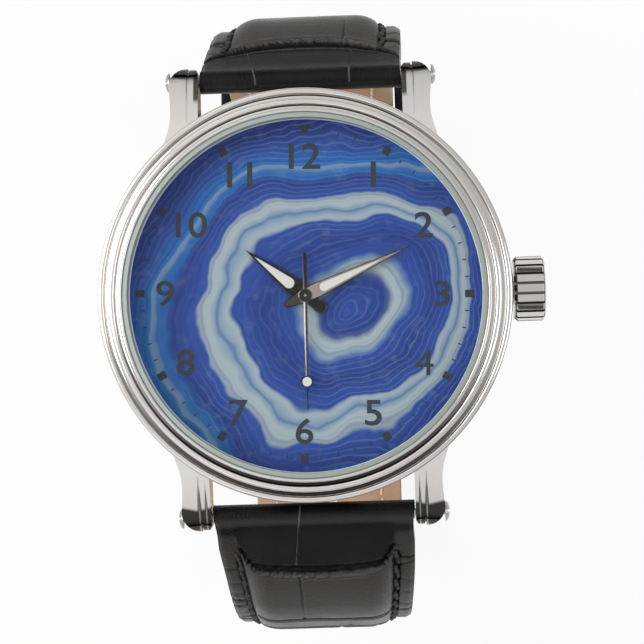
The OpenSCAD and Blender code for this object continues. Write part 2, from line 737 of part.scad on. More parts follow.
// Side outline of a lug, with its top and tip drawn in by an inset
function lug_side(inset) = let (
    r = lug_tip_r - inset,
    big = lug_top_r - inset,
    root = lug_root - [0, inset],
    d = norm(lug_tip - root),
    u = (lug_tip - root) / d,
    a = (pow(big, 2) - pow(big - r, 2) + d * d) / (2 * d),
    h = sqrt(big * big - a * a),
    c = root + a * u + h * [u[1], -u[0]],
    a0 = atan2(root[1] - c[1], root[0] - c[0]),
    a1 = atan2(lug_tip[1] - c[1], lug_tip[0] - c[0]))
  concat([for (i = [0:12]) c + at_angle(big, a0 + (a1 - a0) * i / 12)],
    [for (i = [1:12]) lug_tip + at_angle(r, a1 + (-90 - a1) * i / 12)],
    [[lug_root_y, lug_tip[1] - r + lug_root_rise], [lug_root_y, root[1]]]);

// Plan outline of a lug: straight inside, round at the tip, waisted outside and flared into the band
function lug_plan() = let (tip_y = lug_reach - lug_plan_r)
  concat([[lug_in, lug_root_y]],
    [for (p = lug_nose) [lug_in, lug_reach] + p],
    [for (i = [0:8]) [lug_out - lug_plan_r, tip_y] + at_angle(lug_plan_r, 90 - 90 * i / 8)],
    [for (i = [1:10]) let (y = tip_y + (lug_root_y - tip_y) * i / 10, f = i / 10)
      [lug_out - lug_waist * sin(180 * min(1, f * 1.6)) + lug_flare * pow(max(0, f - 0.35) / 0.65, 2), y]]);

module lug_slab(x0, x1, inset) {
  translate([x0, 0, 0])
    rotate([90, 0, 90])
      linear_extrude(x1 - x0)
        polygon(lug_side(inset));
}

module lug() {
  line_x = lug_in + lug_strip_w;
  intersection() {
    linear_extrude(band_top_z + 1)
      polygon(lug_plan());
    union() {
      lug_slab(lug_in, line_x, lug_strip_drop);
      lug_slab(line_x, line_x + lug_line_w, lug_line_depth);
      lug_slab(line_x + lug_line_w, lug_out + lug_flare + 1, 0);
    }
  }
}

// Rounded crest of a bezel ring, from its inner to its outer edge
function crest(i) = [for (k = [0:8]) let (a = 180 - 180 * k / 8)
  [(ring_in[i] + ring_out[i]) / 2 + (ring_out[i] - ring_in[i]) / 2 * cos(a),
    ring_top[i] - ring_crown + ring_crown * sin(a)]];

module bezel() color("silver")
  rotate_extrude()
    polygon(concat(
      [[neck_r + seat_gap, band_top_z], [neck_r + seat_gap, neck_top_z], [gasket_pocket_r, neck_top_z],
        [gasket_pocket_r, gasket_top_z], [ring_in[2], gasket_top_z]],
      crest(2),
      [[ring_out[2], ring_top[1] - bezel_groove_depth], [ring_in[1], ring_top[1] - bezel_groove_depth]],
      crest(1),
      [[ring_out[1], ring_top[0] - bezel_groove_depth], [ring_in[0], ring_top[0] - bezel_groove_depth]],
      crest(0),
      [[bezel_r, band_top_z + bezel_foot_bevel], [bezel_r - bezel_foot_bevel, band_top_z]]));

module crystal() color("lightcyan", 0.3)
  rotate_extrude()
    polygon([[0, neck_top_z], [crystal_r, neck_top_z], [crystal_r, crystal_top_z - crystal_bevel * 0.8],
      [crystal_r - crystal_bevel, crystal_top_z], [0, crystal_top_z]]);

module crystal_gasket() color("darkseagreen")
  ring(gasket_pocket_r - seat_gap, crystal_r + seat_gap, neck_top_z, gasket_top_z);

module dial_ring() color("whitesmoke")
  rotate_extrude()
    polygon([[dial_ring_foot_r, dial_z], [lip_r - seat_gap, dial_z], [lip_r - seat_gap, neck_top_z],
      [dial_ring_top_r, neck_top_z]]);

module dial() color("royalblue") {
  difference() {
    translate([0, 0, dial_back_z])
      cylinder(r = chamber_r - chamber_gap, h = dial_t);
    translate([0, 0, dial_back_z - 1])
      cylinder(d = dial_hole_d, h = dial_t + 2);
  }
  for (a = [dial_foot_at[1], dial_foot_at[1] + 180])
    rotate([0, 0, a])
      translate([dial_foot_at[0], 0, plate_z])
        cylinder(r = dial_foot_r, h = dial_back_z - plate_z);
}

module case_back() color("silver") {
  rotate_extrude()
    polygon([[0, 0], [back_flat_d / 2, 0], [back_r, back_edge_z], [back_r, back_t], [0, back_t]]);
  ring(back_rim_r, back_rim_r - back_rim_w, back_t, back_top_z);
}

module case_back_gasket() color("dimgray")
  ring(chamber_r - seat_gap, back_rim_r + seat_gap, back_t, back_t + back_gasket_h);

// Crown, tube and stem
module crown_tube() color("gray")
  difference() {
    stem_rod(crown_tube_r, chamber_r + 0.2, crown_tube_end_x);
    stem_rod(stem_r + arbor_gap * 3, chamber_r - 1, crown_tube_end_x + 1);
  }

module crown() color("silver")
  difference() {
    translate([crown_x, 0, stem_z])
      rotate([0, 90, 0])
        difference() {
          rotate_extrude()
            polygon([[0, 0], [crown_r - crown_bevel, 0], [crown_r, crown_bevel],
              [crown_r, crown_l - crown_bevel], [crown_r - crown_bevel, crown_l - 0.1],
              [crown_r * 0.5, crown_l], [0, crown_l]]);
          for (i = [0:crown_grooves - 1])
            rotate([0, 0, 360 * (i + 0.5) / crown_grooves])
              translate([crown_r - crown_groove_depth, -crown_groove_w / 2, -1])
                cube([1, crown_groove_w, crown_l + 2]);
        }
    stem_rod(crown_bore_r, crown_x - 1, crown_x + crown_bore_depth);
    stem_rod(stem_r + seat_gap, crown_x, stem_seat_end_x);
  }

module crown_gasket() color("black")
  difference() {
    stem_rod(crown_bore_r - seat_gap, crown_gasket_x, crown_gasket_x + crown_gasket_h);
    stem_rod(crown_tube_r + arbor_gap, crown_gasket_x - 1, crown_gasket_x + crown_gasket_h + 1);
  }

module stem() color("gray") {
  stem_rod(stem_r, stem_groove_x + stem_groove_l, stem_seat_end_x);
  stem_rod(stem_groove_r, stem_groove_x - 0.5, stem_groove_x + stem_groove_l + 0.5);
  stem_rod(stem_r, stem_groove_x - 0.5, stem_groove_x);
  translate([stem_end_x, -stem_square / 2, stem_z - stem_square / 2])
    cube([stem_groove_x - 0.4 - stem_end_x, stem_square, stem_square]);
}

// Hands
// Half width of a leaf hand at a distance from the axis; negative distances are the tail
function leaf(d, l, w, tail) = d >= 0
  ? (d < 0.24 * l
    ? w / 2 * (0.72 + 0.28 * sin(90 * d / (0.24 * l)))
    : w / 2 * pow(1 - (d - 0.24 * l) / (0.76 * l), 0.92))
  : d > -0.72 * tail ? w / 2 * (0.72 - 0.2 * sin(180 * min(1, -d / (0.72 * tail))) - 0.04)
  : w / 2 * 0.68 * sqrt(max(0, 1 - pow((-d / tail - 0.72) / 0.28, 2)));

// Half width of a lume slot between its round inner end and its pointed outer end
function slot_half(f, w) = f < 0.12
  ? w / 2 * sqrt(1 - pow(1 - f / 0.12, 2))
  : w / 2 * pow(1 - (f - 0.12) / 0.88, 0.85);

function both_sides(pts) = concat(pts, [for (i = [len(pts) - 2:-1:1]) [-pts[i][0], pts[i][1]]]);

function leaf_outline(l, w, tail) = both_sides(concat([[0, l]],
  [for (i = [15:-1:0]) [leaf(l * i / 16, l, w, tail), l * i / 16]],
  [for (i = [1:12]) let (f = i < 9 ? 0.72 * i / 8 : 0.72 + 0.28 * sin(90 * (i - 8) / 5))
    [leaf(-tail * f, l, w, tail), -tail * f]],
  [[0, -tail]]));

function slot_outline(from, to, w, grow) = both_sides(concat([[0, from - grow]],
  [for (f = [0.02, 0.06, 0.12, 0.3, 0.5, 0.7, 0.85, 0.95])
    [slot_half(f, w) + grow, from + (to - from) * f]],
  [[0, to + 2 * grow]]));

hour_slot = [hour_l * 0.26, hour_l * 0.85, hour_w * 0.56];
minute_slot = [minute_l * 0.14, minute_l * 0.8, minute_w * 0.5];

module hand_plate(l, w, tail, slot, bore_r, collet_r, z, angle) {
  rotate([0, 0, -angle])
    difference() {
      union() {
        translate([0, 0, z])
          linear_extrude(hand_t)
            polygon(leaf_outline(l, w, tail));
        translate([0, 0, z - collet_drop])
          cylinder(r = collet_r, h = hand_t + collet_drop);
      }
      translate([0, 0, z - 1])
        linear_extrude(2)
          polygon(slot_outline(slot[0], slot[1], slot[2], lume_gap));
      translate([0, 0, z - 1])
        cylinder(r = bore_r, h = 4);
    }
}

module hand_lume(slot, z, angle) {
  rotate([0, 0, -angle])
    translate([0, 0, z])
      linear_extrude(hand_t - lume_sink)
        polygon(slot_outline(slot[0], slot[1], slot[2], 0));
}

module hour_hand() color("dimgray")
  hand_plate(hour_l, hour_w, hour_tail, hour_slot, hour_pipe_r + seat_gap, hour_collet_r,
    hour_z, hand_angles[0]);

module minute_hand() color("dimgray")
  hand_plate(minute_l, minute_w, minute_tail, minute_slot, pipe_r + seat_gap, minute_collet_r,
    minute_hand_z, hand_angles[1]);

module second_hand() color("dimgray")
  rotate([0, 0, -hand_angles[2]])
    difference() {
      union() {
        translate([-second_w / 2, -second_tail + second_w / 2, second_z])
          cube([second_w, second_tail + second_dot_at - second_w / 2, hand_t]);
        translate([0, -second_tail + second_w / 2, second_z])
          cylinder(d = second_w, h = hand_t);
        translate([-second_w / 4, second_dot_at, second_z])
          cube([second_w / 2, second_l - second_dot_at, hand_t]);
        translate([0, second_dot_at, second_z])
          cylinder(d = second_dot_d, h = hand_t);
        translate([0, 0, second_z - collet_drop])
          cylinder(r = hub_r, h = hand_t + collet_drop + 0.06);
      }
      translate([0, 0, second_z - 1])
        cylinder(r = fourth_arbor_r + seat_gap / 2, h = 3);
      translate([0, second_dot_at, second_z - 1])
        cylinder(d = second_dot_d - 2 * second_dot_rim, h = 3);
    }

module hour_lume() color("whitesmoke")
  hand_lume(hour_slot, hour_z, hand_angles[0]);

module minute_lume() color("whitesmoke")
  hand_lume(minute_slot, minute_hand_z, hand_angles[1]);

module second_lume() color("whitesmoke")
  rotate([0, 0, -hand_angles[2]])
    translate([0, second_dot_at, second_z])
      cylinder(d = second_dot_d - 2 * second_dot_rim - 2 * lume_gap, h = hand_t - lume_sink);

// Movement
module movement_holder() color("white")
  difference() {
    ring(chamber_r - chamber_gap, movement_r + movement_gap, back_top_z + chamber_gap, dial_back_z);
    stem_rod(stem_r + 0.35, movement_r - 1, chamber_r + 1);
  }

module main_plate() color("goldenrod")
  difference() {
    union() {
      translate([0, 0, plate_z])
        cylinder(r = movement_r, h = plate_t);
      ring(movement_r, plate_wall_r, plate_foot_z, plate_z);
      ring(movement_r, movement_r - dial_rim_w, plate_top_z, dial_back_z);
      for (p = bridge_screw_at)
        translate([p[0], p[1], bridge_top_z])
          cylinder(r = pillar_r, h = plate_z - bridge_top_z);
      for (p = [minute_at, setting_at])
        translate([p[0], p[1], plate_top_z])
          cylinder(r = stud_r, h = dial_back_z - end_shake - plate_top_z);
      translate([lever_pivot[0], lever_pivot[1], plate_top_z])
        cylinder(r = lever_stud_r, h = lever_z + lever_t + 0.1 - plate_top_z);
      for (k = [-1, 1])
        rotate([0, 0, stator_turn])
          translate([k * (stator_l - stator_arm_w) / 2, coil_at, core_z + core_t])
            cylinder(r = core_w / 2, h = plate_z - core_z - core_t);
    }
    translate([0, 0, plate_z - 1])
      cylinder(r = pipe_r + arbor_gap, h = 3);
    for (p = [third_at, fifth_at, rotor_at])
      translate([p[0], p[1], plate_z - 1])
        cylinder(r = pivot_r + arbor_gap, h = 3);
    for (p = bridge_screw_at)
      translate([p[0], p[1], bridge_top_z - 1])
        cylinder(r = bridge_screw_r + seat_gap, h = 2.2);
    for (a = [dial_foot_at[1], dial_foot_at[1] + 180])
      rotate([0, 0, a])
        translate([dial_foot_at[0], 0, -1])
          cylinder(r = dial_foot_r + 0.04, h = 9);
    translate([battery_at[0], battery_at[1], 0])
      cylinder(d = battery_d + 2 * battery_gap, h = plate_z);
    translate([stem_end_x - 0.25, -stem_slot_w / 2, stem_z - pinion_r - 0.15])
      cube([movement_r, stem_slot_w, 5]);
  }

module train_bridge() color("silver")
  difference() {
    translate([0, 0, bridge_z])
      linear_extrude(bridge_t)
        hull()
          for (p = concat(bridge_screw_at, [rotor_at, fifth_at, third_at]))
            translate(p)
              circle(r = 1, $fn = 32);
    for (p = [[0, 0], third_at, fifth_at, rotor_at])
      translate([p[0], p[1], bridge_z - 1])
        cylinder(r = pivot_r + arbor_gap, h = 3);
    for (p = bridge_screw_at)
      translate([p[0], p[1], bridge_z - 1])
        cylinder(r = bridge_screw_r + 0.05, h = 3);
    translate([battery_at[0], battery_at[1], 0])
      cylinder(d = battery_d + 4 * battery_gap, h = plate_z);
  }

module bridge_screws() color("gray")
  for (p = bridge_screw_at)
    translate([p[0], p[1], 0])
      difference() {
        union() {
          translate([0, 0, bridge_z - bridge_screw_head_h])
            cylinder(r = bridge_screw_head_r, h = bridge_screw_head_h);
          translate([0, 0, bridge_z - 0.1])
            cylinder(r = bridge_screw_r, h = bridge_t + 1.1);
        }
        translate([-1, -bridge_screw_slot_w / 2, bridge_z - bridge_screw_head_h - 0.1])
          cube([2, bridge_screw_slot_w, 0.22]);
      }

module battery() color("silver")
  translate([battery_at[0], battery_at[1], battery_z])
    rotate_extrude()
      polygon([[0, 0], [battery_d / 2 - 0.2, 0], [battery_d / 2, 0.2], [battery_d / 2, battery_t - 0.45],
        [battery_d / 2 - 0.5, battery_t - 0.2], [battery_d / 2 - 0.5, battery_t], [0, battery_t]]);

module battery_clamp() color("gainsboro")
  translate([battery_at[0], battery_at[1], battery_z - clamp_t])
    rotate([0, 0, atan2(battery_at[1], battery_at[0])])
      difference() {
        translate([-battery_d / 2 + 0.4, -clamp_w / 2, 0])
          cube([movement_r - norm(battery_at) + battery_d / 2 - 0.8, clamp_w, clamp_t]);
        translate([0, 0, -1])
          cylinder(r = 0.6, h = 3);
      }

module coil_place() {
  rotate([0, 0, stator_turn])
    translate([0, coil_at, core_z + core_t / 2])
      rotate([0, 90, 0])
        children();
}

module coil() color("sienna")
  coil_place()
    difference() {
      union() {
        cylinder(r = coil_r - 0.1, h = coil_l, center = true);
        for (k = [-1, 1])
          translate([0, 0, k * (coil_l + coil_flange_t) / 2])
            cylinder(r = coil_r, h = coil_flange_t, center = true);
      }
      cube([core_t + 0.06, core_w + 0.06, coil_l + 2], center = true);
    }

module coil_core() color("slategray")
  coil_place()
    cube([core_t, core_w, stator_l], center = true);

module stator() color("slategray")
  translate([0, 0, stator_z])
    rotate([0, 0, stator_turn])
      difference() {
        union() {
          translate([-stator_l / 2, norm(rotor_at) - stator_w / 2, 0])
            cube([stator_l, stator_w, stator_t]);
          for (k = [-1, 1])
            translate([k * (stator_l - stator_arm_w) / 2 - stator_arm_w / 2, norm(rotor_at), 0])
              cube([stator_arm_w, stator_reach - norm(rotor_at), stator_t]);
        }
        translate([0, norm(rotor_at), -1])
          cylinder(r = magnet_r + 0.25, h = 3);
        rotate([0, 0, -stator_turn])
          for (p = bridge_screw_at)
            translate([p[0], p[1], -1])
              cylinder(r = pillar_r + 0.1, h = 3);
      }

// A short arbor with a pivot at each end, between the bridge and the plate
module arbor(at, r) {
  translate([at[0], at[1], bridge_z + end_shake])
    cylinder(r = pivot_r, h = plate_top_z - bridge_z - 2 * end_shake);
  translate([at[0], at[1], bridge_top_z + end_shake])
    cylinder(r = r, h = plate_z - bridge_top_z - 2 * end_shake);
}

module rotor() color("darkslategray") {
  arbor(rotor_at, arbor_r);
  translate([rotor_at[0], rotor_at[1], 0]) {
    translate([0, 0, magnet_z])
      cylinder(r = magnet_r, h = magnet_h);
    gear(rotor_teeth, module_fast, facing(rotor_angle, rotor_teeth), rotor_pinion_z, 0.45);
  }
}

module fifth_wheel() color("gold") {
  arbor(fifth_at, fifth_arbor_r);
  translate([fifth_at[0], fifth_at[1], 0]) {
    wheel(fifth_teeth, module_fast, rotor_angle, fifth_z);
    gear(fifth_pinion_teeth, module_fast, facing(fifth_angle, fifth_pinion_teeth), fifth_pinion_z, 0.35);
  }
}

module fourth_wheel() color("gold") {
  translate([0, 0, bridge_z + end_shake])
    cylinder(r = pivot_r, h = 1);
  translate([0, 0, bridge_top_z + end_shake])
    cylinder(r = fourth_arbor_r, h = second_z + hand_t - bridge_top_z);
  wheel(fourth_teeth, module_fast, fifth_angle, fourth_z);
  gear(fourth_pinion_teeth, module_slow, third_angle, fourth_pinion_z, 0.4);
}

module third_wheel() color("gold") {
  arbor(third_at, arbor_r);
  translate([third_at[0], third_at[1], 0]) {
    wheel(third_teeth, module_slow, facing(third_angle, third_teeth), third_z);
    gear(third_pinion_teeth, module_centre, facing(third_angle, third_pinion_teeth), third_pinion_z, 0.6);
  }
}

module centre_wheel() color("gold")
  difference() {
    union() {
      wheel(centre_teeth, module_centre, third_angle, centre_z);
      translate([0, 0, centre_z])
        cylinder(r = pipe_r, h = minute_hand_z + hand_t - centre_z);
      gear(cannon_teeth, module_dial, minute_angle, minute_z, 0.22);
    }
    translate([0, 0, centre_z - 1])
      cylinder(r = fourth_arbor_r + arbor_gap, h = 5);
  }

module minute_wheel() color("gold")
  translate([minute_at[0], minute_at[1], 0])
    difference() {
      union() {
        gear(minute_teeth, module_dial, facing(minute_angle, minute_teeth), minute_z, wheel_t);
        gear(minute_pinion_teeth, module_dial, facing(minute_angle, minute_pinion_teeth), minute_z,
          dial_back_z - end_shake - minute_z);
      }
      translate([0, 0, minute_z - 1])
        cylinder(r = stud_r + arbor_gap, h = 3);
    }

module hour_wheel() color("gold")
  difference() {
    union() {
      gear(hour_teeth, module_dial, minute_angle, hour_wheel_z, wheel_t);
      translate([0, 0, hour_wheel_z])
        cylinder(r = hour_pipe_r, h = hour_z + hand_t - hour_wheel_z);
    }
    translate([0, 0, hour_wheel_z - 1])
      cylinder(r = pipe_r + arbor_gap, h = 4);
  }

// The minute wheel's tooth nearest the setting wheel stands off the line of centres by this angle
setting_off = (setting_angle - facing(minute_angle, minute_teeth)) % (360 / minute_teeth);

module setting_wheel() color("gold")
  translate([setting_at[0], setting_at[1], 0])
    difference() {
      wheel(setting_teeth, module_dial,
        facing(setting_angle, setting_teeth) + setting_off * minute_teeth / setting_teeth, minute_z);
      translate([0, 0, minute_z - 1])
        cylinder(r = stud_r + arbor_gap, h = 3);
    }

module sliding_pinion() color("gray")
  translate([pinion_x, 0, stem_z])
    rotate([0, 90, 0])
      difference() {
        cylinder(r = pinion_r, h = pinion_l);
        translate([0, 0, pinion_l * 0.5])
          ring(pinion_r + 1, pinion_r - 0.25, 0, pinion_l * 0.25);
        for (i = [0:5])
          rotate([0, 0, 30 * i])
            translate([-0.1, -1, -0.1])
              cube([0.2, 2, 0.3]);
        cube([stem_square + 2 * arbor_gap, stem_square + 2 * arbor_gap, 4], center = true);
      }

module setting_lever() color("gray") {
  pin = [stem_groove_x + stem_groove_l / 2, lever_pin_y];
  arm = pin - lever_pivot;
  difference() {
    union() {
      translate([lever_pivot[0], lever_pivot[1], lever_z])
        cylinder(r = lever_boss_r, h = lever_t);
      translate([lever_pivot[0], lever_pivot[1], lever_z])
        rotate([0, 0, atan2(arm[1], arm[0])])
          translate([0, -lever_arm_w / 2, 0])
            cube([norm(arm), lever_arm_w, lever_t]);
      translate([pin[0], pin[1], lever_z])
        cylinder(d = lever_arm_w, h = lever_t);
      translate([pin[0], pin[1], stem_z - lever_pin_r])
        cylinder(r = lever_pin_r, h = lever_z + lever_t - stem_z + lever_pin_r);
    }
    translate([lever_pivot[0], lever_pivot[1], lever_z - 1])
      cylinder(r = lever_stud_r + arbor_gap, h = 3);
  }
}

module circuit_board() color("darkgreen")
  difference() {
    translate([0, 0, board_z])
      rotate([0, 0, board_start])
        rotate_extrude(angle = board_turn)
          translate([board_from, 0])
            square([board_w, board_t]);
    rotate([0, 0, board_start + board_turn / 2])
      translate([board_mid_r, 0, 0])
        cylinder(r = 0.4, h = 5);
  }

module quartz_can() color("silver")
  rotate([0, 0, board_start + board_turn * 0.76])
    translate([board_mid_r + 0.2, 0, board_z + board_t + can_r])
      rotate([90, 0, 0])
        cylinder(r = can_r, h = can_l, center = true);

// Strap bars and the screws that hold them in the lugs
module lug_bar(y)
  difference() {
    across_x(bar_r, lug_gap - 2 * bar_end_gap, y, bar_z);
    for (k = [-1, 1])
      translate([k * (lug_in - lug_screw_reach / 2), 0, 0])
        across_x(lug_screw_d / 2 + seat_gap, lug_screw_reach + 0.4, y, bar_z);
  }

module lug_bar_12() color("gray")
  lug_bar(bar_y);

module lug_bar_6() color("gray")
  lug_bar(-bar_y);

module lug_screws() color("silver")
  for (k = [-1, 1]) for (j = [-1, 1])
    translate([k * lug_out, j * bar_y, bar_z])
      rotate([0, k * 90, 0])
        difference() {
          union() {
            rotate_extrude()
              polygon(concat([[0, 0]], [for (i = [0:6]) at_angle(1, 90 * i / 6)
                * [[lug_screw_head_d / 2, 0], [0, lug_screw_head_h]]]));
            translate([0, 0, -lug_w - lug_screw_reach + 0.2])
              cylinder(d = lug_screw_d, h = lug_w + lug_screw_reach);
          }
          translate([-2, -screw_slot_w / 2, lug_screw_head_h - screw_slot_depth])
            cube([4, screw_slot_w, 1]);
        }

// Strap, 12 o'clock half with the buckle
module tang_notch() {
  on_strap(chain_12, start_12, half_l_12 - buckle_nose_r, 0)
    translate([0, 0, buckle_nose_r])
      cube([tang_w + 2 * notch_gap, 2 * buckle_nose_r + 2 * notch_run, 4], center = true);
}

module strap_12_leather() color([0.13, 0.13, 0.14])
  difference() {
    leather_loft(chain_12, start_12, half_l_12, strap_end_w, buckle_half_t, buckle_nose_r, 0);
    across_x(strap_bore_r, lug_gap + 4, bar_y, bar_z);
    across_x(buckle_bar_d / 2 + hinge_gap, strap_end_w + 8, buckle_y, buckle_z);
    tang_notch();
  }

module strap_12_lining() color("tan")
  difference() {
    lining_loft(chain_12, start_12, half_l_12, strap_end_w, buckle_nose_r, 0,
      half_l_12 - 2 * buckle_nose_r - lining_stop);
    tang_notch();
  }

// Strap, 6 o'clock half with the holes
module buckle_holes() {
  for (i = [0:strap_holes - 1])
    on_strap(chain_6, start_6, used_hole_s + (i - hole_in_use) * strap_hole_pitch, 0)
      translate([0, 0, -1])
        linear_extrude(4)
          slot_2d(strap_hole_l, strap_hole_w);
}

module strap_6_leather() color([0.13, 0.13, 0.14])
  mirror([0, 1, 0])
    difference() {
      leather_loft(chain_6, start_6, tail_half_l, tail_w, tail_t, 0, tail_tip_l);
      across_x(strap_bore_r, lug_gap + 4, bar_y, bar_z);
      buckle_holes();
    }

module strap_6_lining() color("tan")
  mirror([0, 1, 0])
    difference() {
      lining_loft(chain_6, start_6, tail_half_l, tail_w, 0, tail_tip_l, tail_half_l);
      buckle_holes();
    }

// A leather band round both layers of the strap
module keeper(s, gap) {
  in_w = strap_end_w + 2 * gap + 2 * keeper_side_gap;
  in_t = keeper_in_t + 2 * gap;
  on_strap(chain_12, start_12, s, 0)
    translate([0, keeper_l / 2, in_t / 2 - gap])
      rotate([90, 0, 0])
        linear_extrude(keeper_l)
          difference() {
            hull()
              for (kx = [-1, 1]) for (ky = [-1, 1])
                translate([kx * in_w / 2, ky * in_t / 2])
                  circle(r = keeper_t, $fn = 24);
            square([in_w, in_t], center = true);
          }
}

module fixed_keeper() color([0.13, 0.13, 0.14])
  keeper(fixed_keeper_s, leather_gap);

module sliding_keeper() color([0.13, 0.13, 0.14])
  keeper(keeper_s, sliding_keeper_gap);

// Buckle
module buckle_bar() color("gray")
  across_x(buckle_bar_d / 2, strap_end_w + 2 * buckle_side_gap + 2 * buckle_side_w - 0.1,
    buckle_y, buckle_z);

module buckle_side(x) {
  arm = cross_bar_at - [buckle_y, buckle_z];
  eye_r = buckle_bar_d / 2 + buckle_eye_w;
  translate([x, 0, 0]) {
    across_x(eye_r, buckle_side_w, buckle_y, buckle_z);
    translate([0, buckle_y, buckle_z])
      rotate([atan2(arm[1], arm[0]), 0, 0])
        rotate([90, 0, 90])
          linear_extrude(buckle_side_w, center = true)
            polygon([[0, -eye_r + buckle_arm_inset], [norm(arm), -cross_bar_r + buckle_arm_inset],
              [norm(arm), cross_bar_r - buckle_arm_inset], [0, eye_r - buckle_arm_inset]]);
  }
}

module buckle_frame() color("silver") {
  side_x = strap_end_w / 2 + buckle_side_gap + buckle_side_w / 2;
  difference() {
    union() {
      for (k = [-1, 1])
        buckle_side(k * side_x);
      across_x(cross_bar_r, 2 * side_x + buckle_side_w, cross_bar_at[0], cross_bar_at[1]);
    }
    across_x(buckle_bar_d / 2 + hinge_gap, 3 * side_x, buckle_y, buckle_z);
    tang_blade(tang_side_gap, tang_seat_gap, 3);
  }
}

// The tang's blade from its ring to past the cross bar, grown at its sides, its faces and its tip
module tang_blade(side, face, tip) {
  reach = norm(tang_rest - tang_from);
  slope = atan2(tang_from[1] - tang_rest[1], tang_from[0] - tang_rest[0]);
  translate([0, tang_from[0], tang_from[1]])
    rotate([90 + slope, 0, 0])
      translate([-tang_w / 2 - side, -tang_t / 2 - face, 0])
        cube([tang_w + 2 * side, tang_t + 2 * face, reach + tang_tip_l + tip]);
}

module buckle_tang() color("silver")
  difference() {
    union() {
      across_x(buckle_bar_d / 2 + tang_ring_w, tang_w, buckle_y, buckle_z);
      tang_blade(0, 0, 0);
    }
    across_x(buckle_bar_d / 2 + hinge_gap, tang_w + 2, buckle_y, buckle_z);
  }

case_middle();
bezel();
crystal();
crystal_gasket();
dial_ring();
dial();
case_back();
case_back_gasket();
crown_tube();
crown();
crown_gasket();
stem();
hour_hand();
minute_hand();
second_hand();
hour_lume();
minute_lume();
second_lume();
movement_holder();
main_plate();
train_bridge();
bridge_screws();
battery();
battery_clamp();
coil();
coil_core();
stator();
rotor();
fifth_wheel();
fourth_wheel();
third_wheel();
centre_wheel();
minute_wheel();
hour_wheel();
setting_wheel();
sliding_pinion();
setting_lever();
circuit_board();
quartz_can();
lug_bar_12();
lug_bar_6();
lug_screws();
strap_12_leather();
strap_12_lining();
strap_6_leather();
strap_6_lining();
fixed_keeper();
sliding_keeper();
buckle_bar();
buckle_frame();
buckle_tang();
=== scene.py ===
import random
from math import cos, hypot, pi, radians, sin, sqrt

import bmesh
import bpy
import numpy as np
from mathutils import Matrix, Vector


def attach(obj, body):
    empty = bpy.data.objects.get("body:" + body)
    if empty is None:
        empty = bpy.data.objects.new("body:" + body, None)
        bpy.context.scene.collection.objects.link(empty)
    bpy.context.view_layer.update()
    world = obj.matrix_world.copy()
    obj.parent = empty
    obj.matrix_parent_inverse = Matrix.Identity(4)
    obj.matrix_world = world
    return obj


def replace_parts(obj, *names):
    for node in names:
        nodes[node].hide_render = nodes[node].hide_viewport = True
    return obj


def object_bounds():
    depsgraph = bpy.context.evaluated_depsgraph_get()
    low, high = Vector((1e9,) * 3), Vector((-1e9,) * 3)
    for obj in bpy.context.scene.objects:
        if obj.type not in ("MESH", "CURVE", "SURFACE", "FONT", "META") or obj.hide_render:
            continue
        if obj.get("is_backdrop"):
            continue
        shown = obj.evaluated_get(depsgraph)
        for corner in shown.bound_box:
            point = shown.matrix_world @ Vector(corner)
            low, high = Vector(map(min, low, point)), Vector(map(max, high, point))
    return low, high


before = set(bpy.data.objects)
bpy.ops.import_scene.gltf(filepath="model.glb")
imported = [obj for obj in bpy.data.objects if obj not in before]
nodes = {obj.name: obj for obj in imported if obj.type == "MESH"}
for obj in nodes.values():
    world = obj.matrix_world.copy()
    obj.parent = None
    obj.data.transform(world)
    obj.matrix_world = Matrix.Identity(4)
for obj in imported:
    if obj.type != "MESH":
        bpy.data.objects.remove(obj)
cad_low, cad_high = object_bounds()
MM = 0.001
scene = bpy.context.scene

# Sizes shared with the part's source, in millimetres and degrees
DIAL_Z = 5.2
BAR_Y, BAR_Z, BAR_R = 21.5, 1.7, 0.65
HINGE_GAP = 0.04
NOSE_R, FLANK_R = 1.2, 85.0
STITCH_IN, LINING_STITCH_IN = 1.85, 2.3
STRAP_W, END_W, TAIL_W = 19.8, 18.0, 17.0
TAPER_L = 45.0
LINING_T, LINING_FROM = 0.7, 3.6
BUCKLE_T, TAIL_T = 2.0, 1.8
TAIL_L, TIP_L = 110.0, 9.0
HOLES, HOLE_PITCH, HOLE_L, HOLE_W, HOLE_IN_USE = 7, 6.5, 4.0, 1.9, 3
LEATHER_GAP = 0.1
LOOP_FLOOR_Z = BAR_Z - 48.7
BUCKLE_Y, BUCKLE_BAR_D = -1.5, 1.0
TANG_W = 1.5
KEEPER_L, KEEPER_T = 5.0, 1.2
HAND_T = 0.16
HAND_ANGLES = {"hour": 309.0, "minute": 66.5, "second": 180.6}
ROLL = radians(1.85)


# Strap path: a chain of runs, each a length and a turn, from y, z and a heading
def run_end(p, l, turn):
    y, z, h = p
    a, b = radians(h), radians(h + turn)
    if abs(turn) < 0.001:
        return y + l * cos(a), z - l * sin(a), h
    r = l / radians(turn)
    return y + r * (sin(b) - sin(a)), z + r * (cos(b) - cos(a)), h + turn


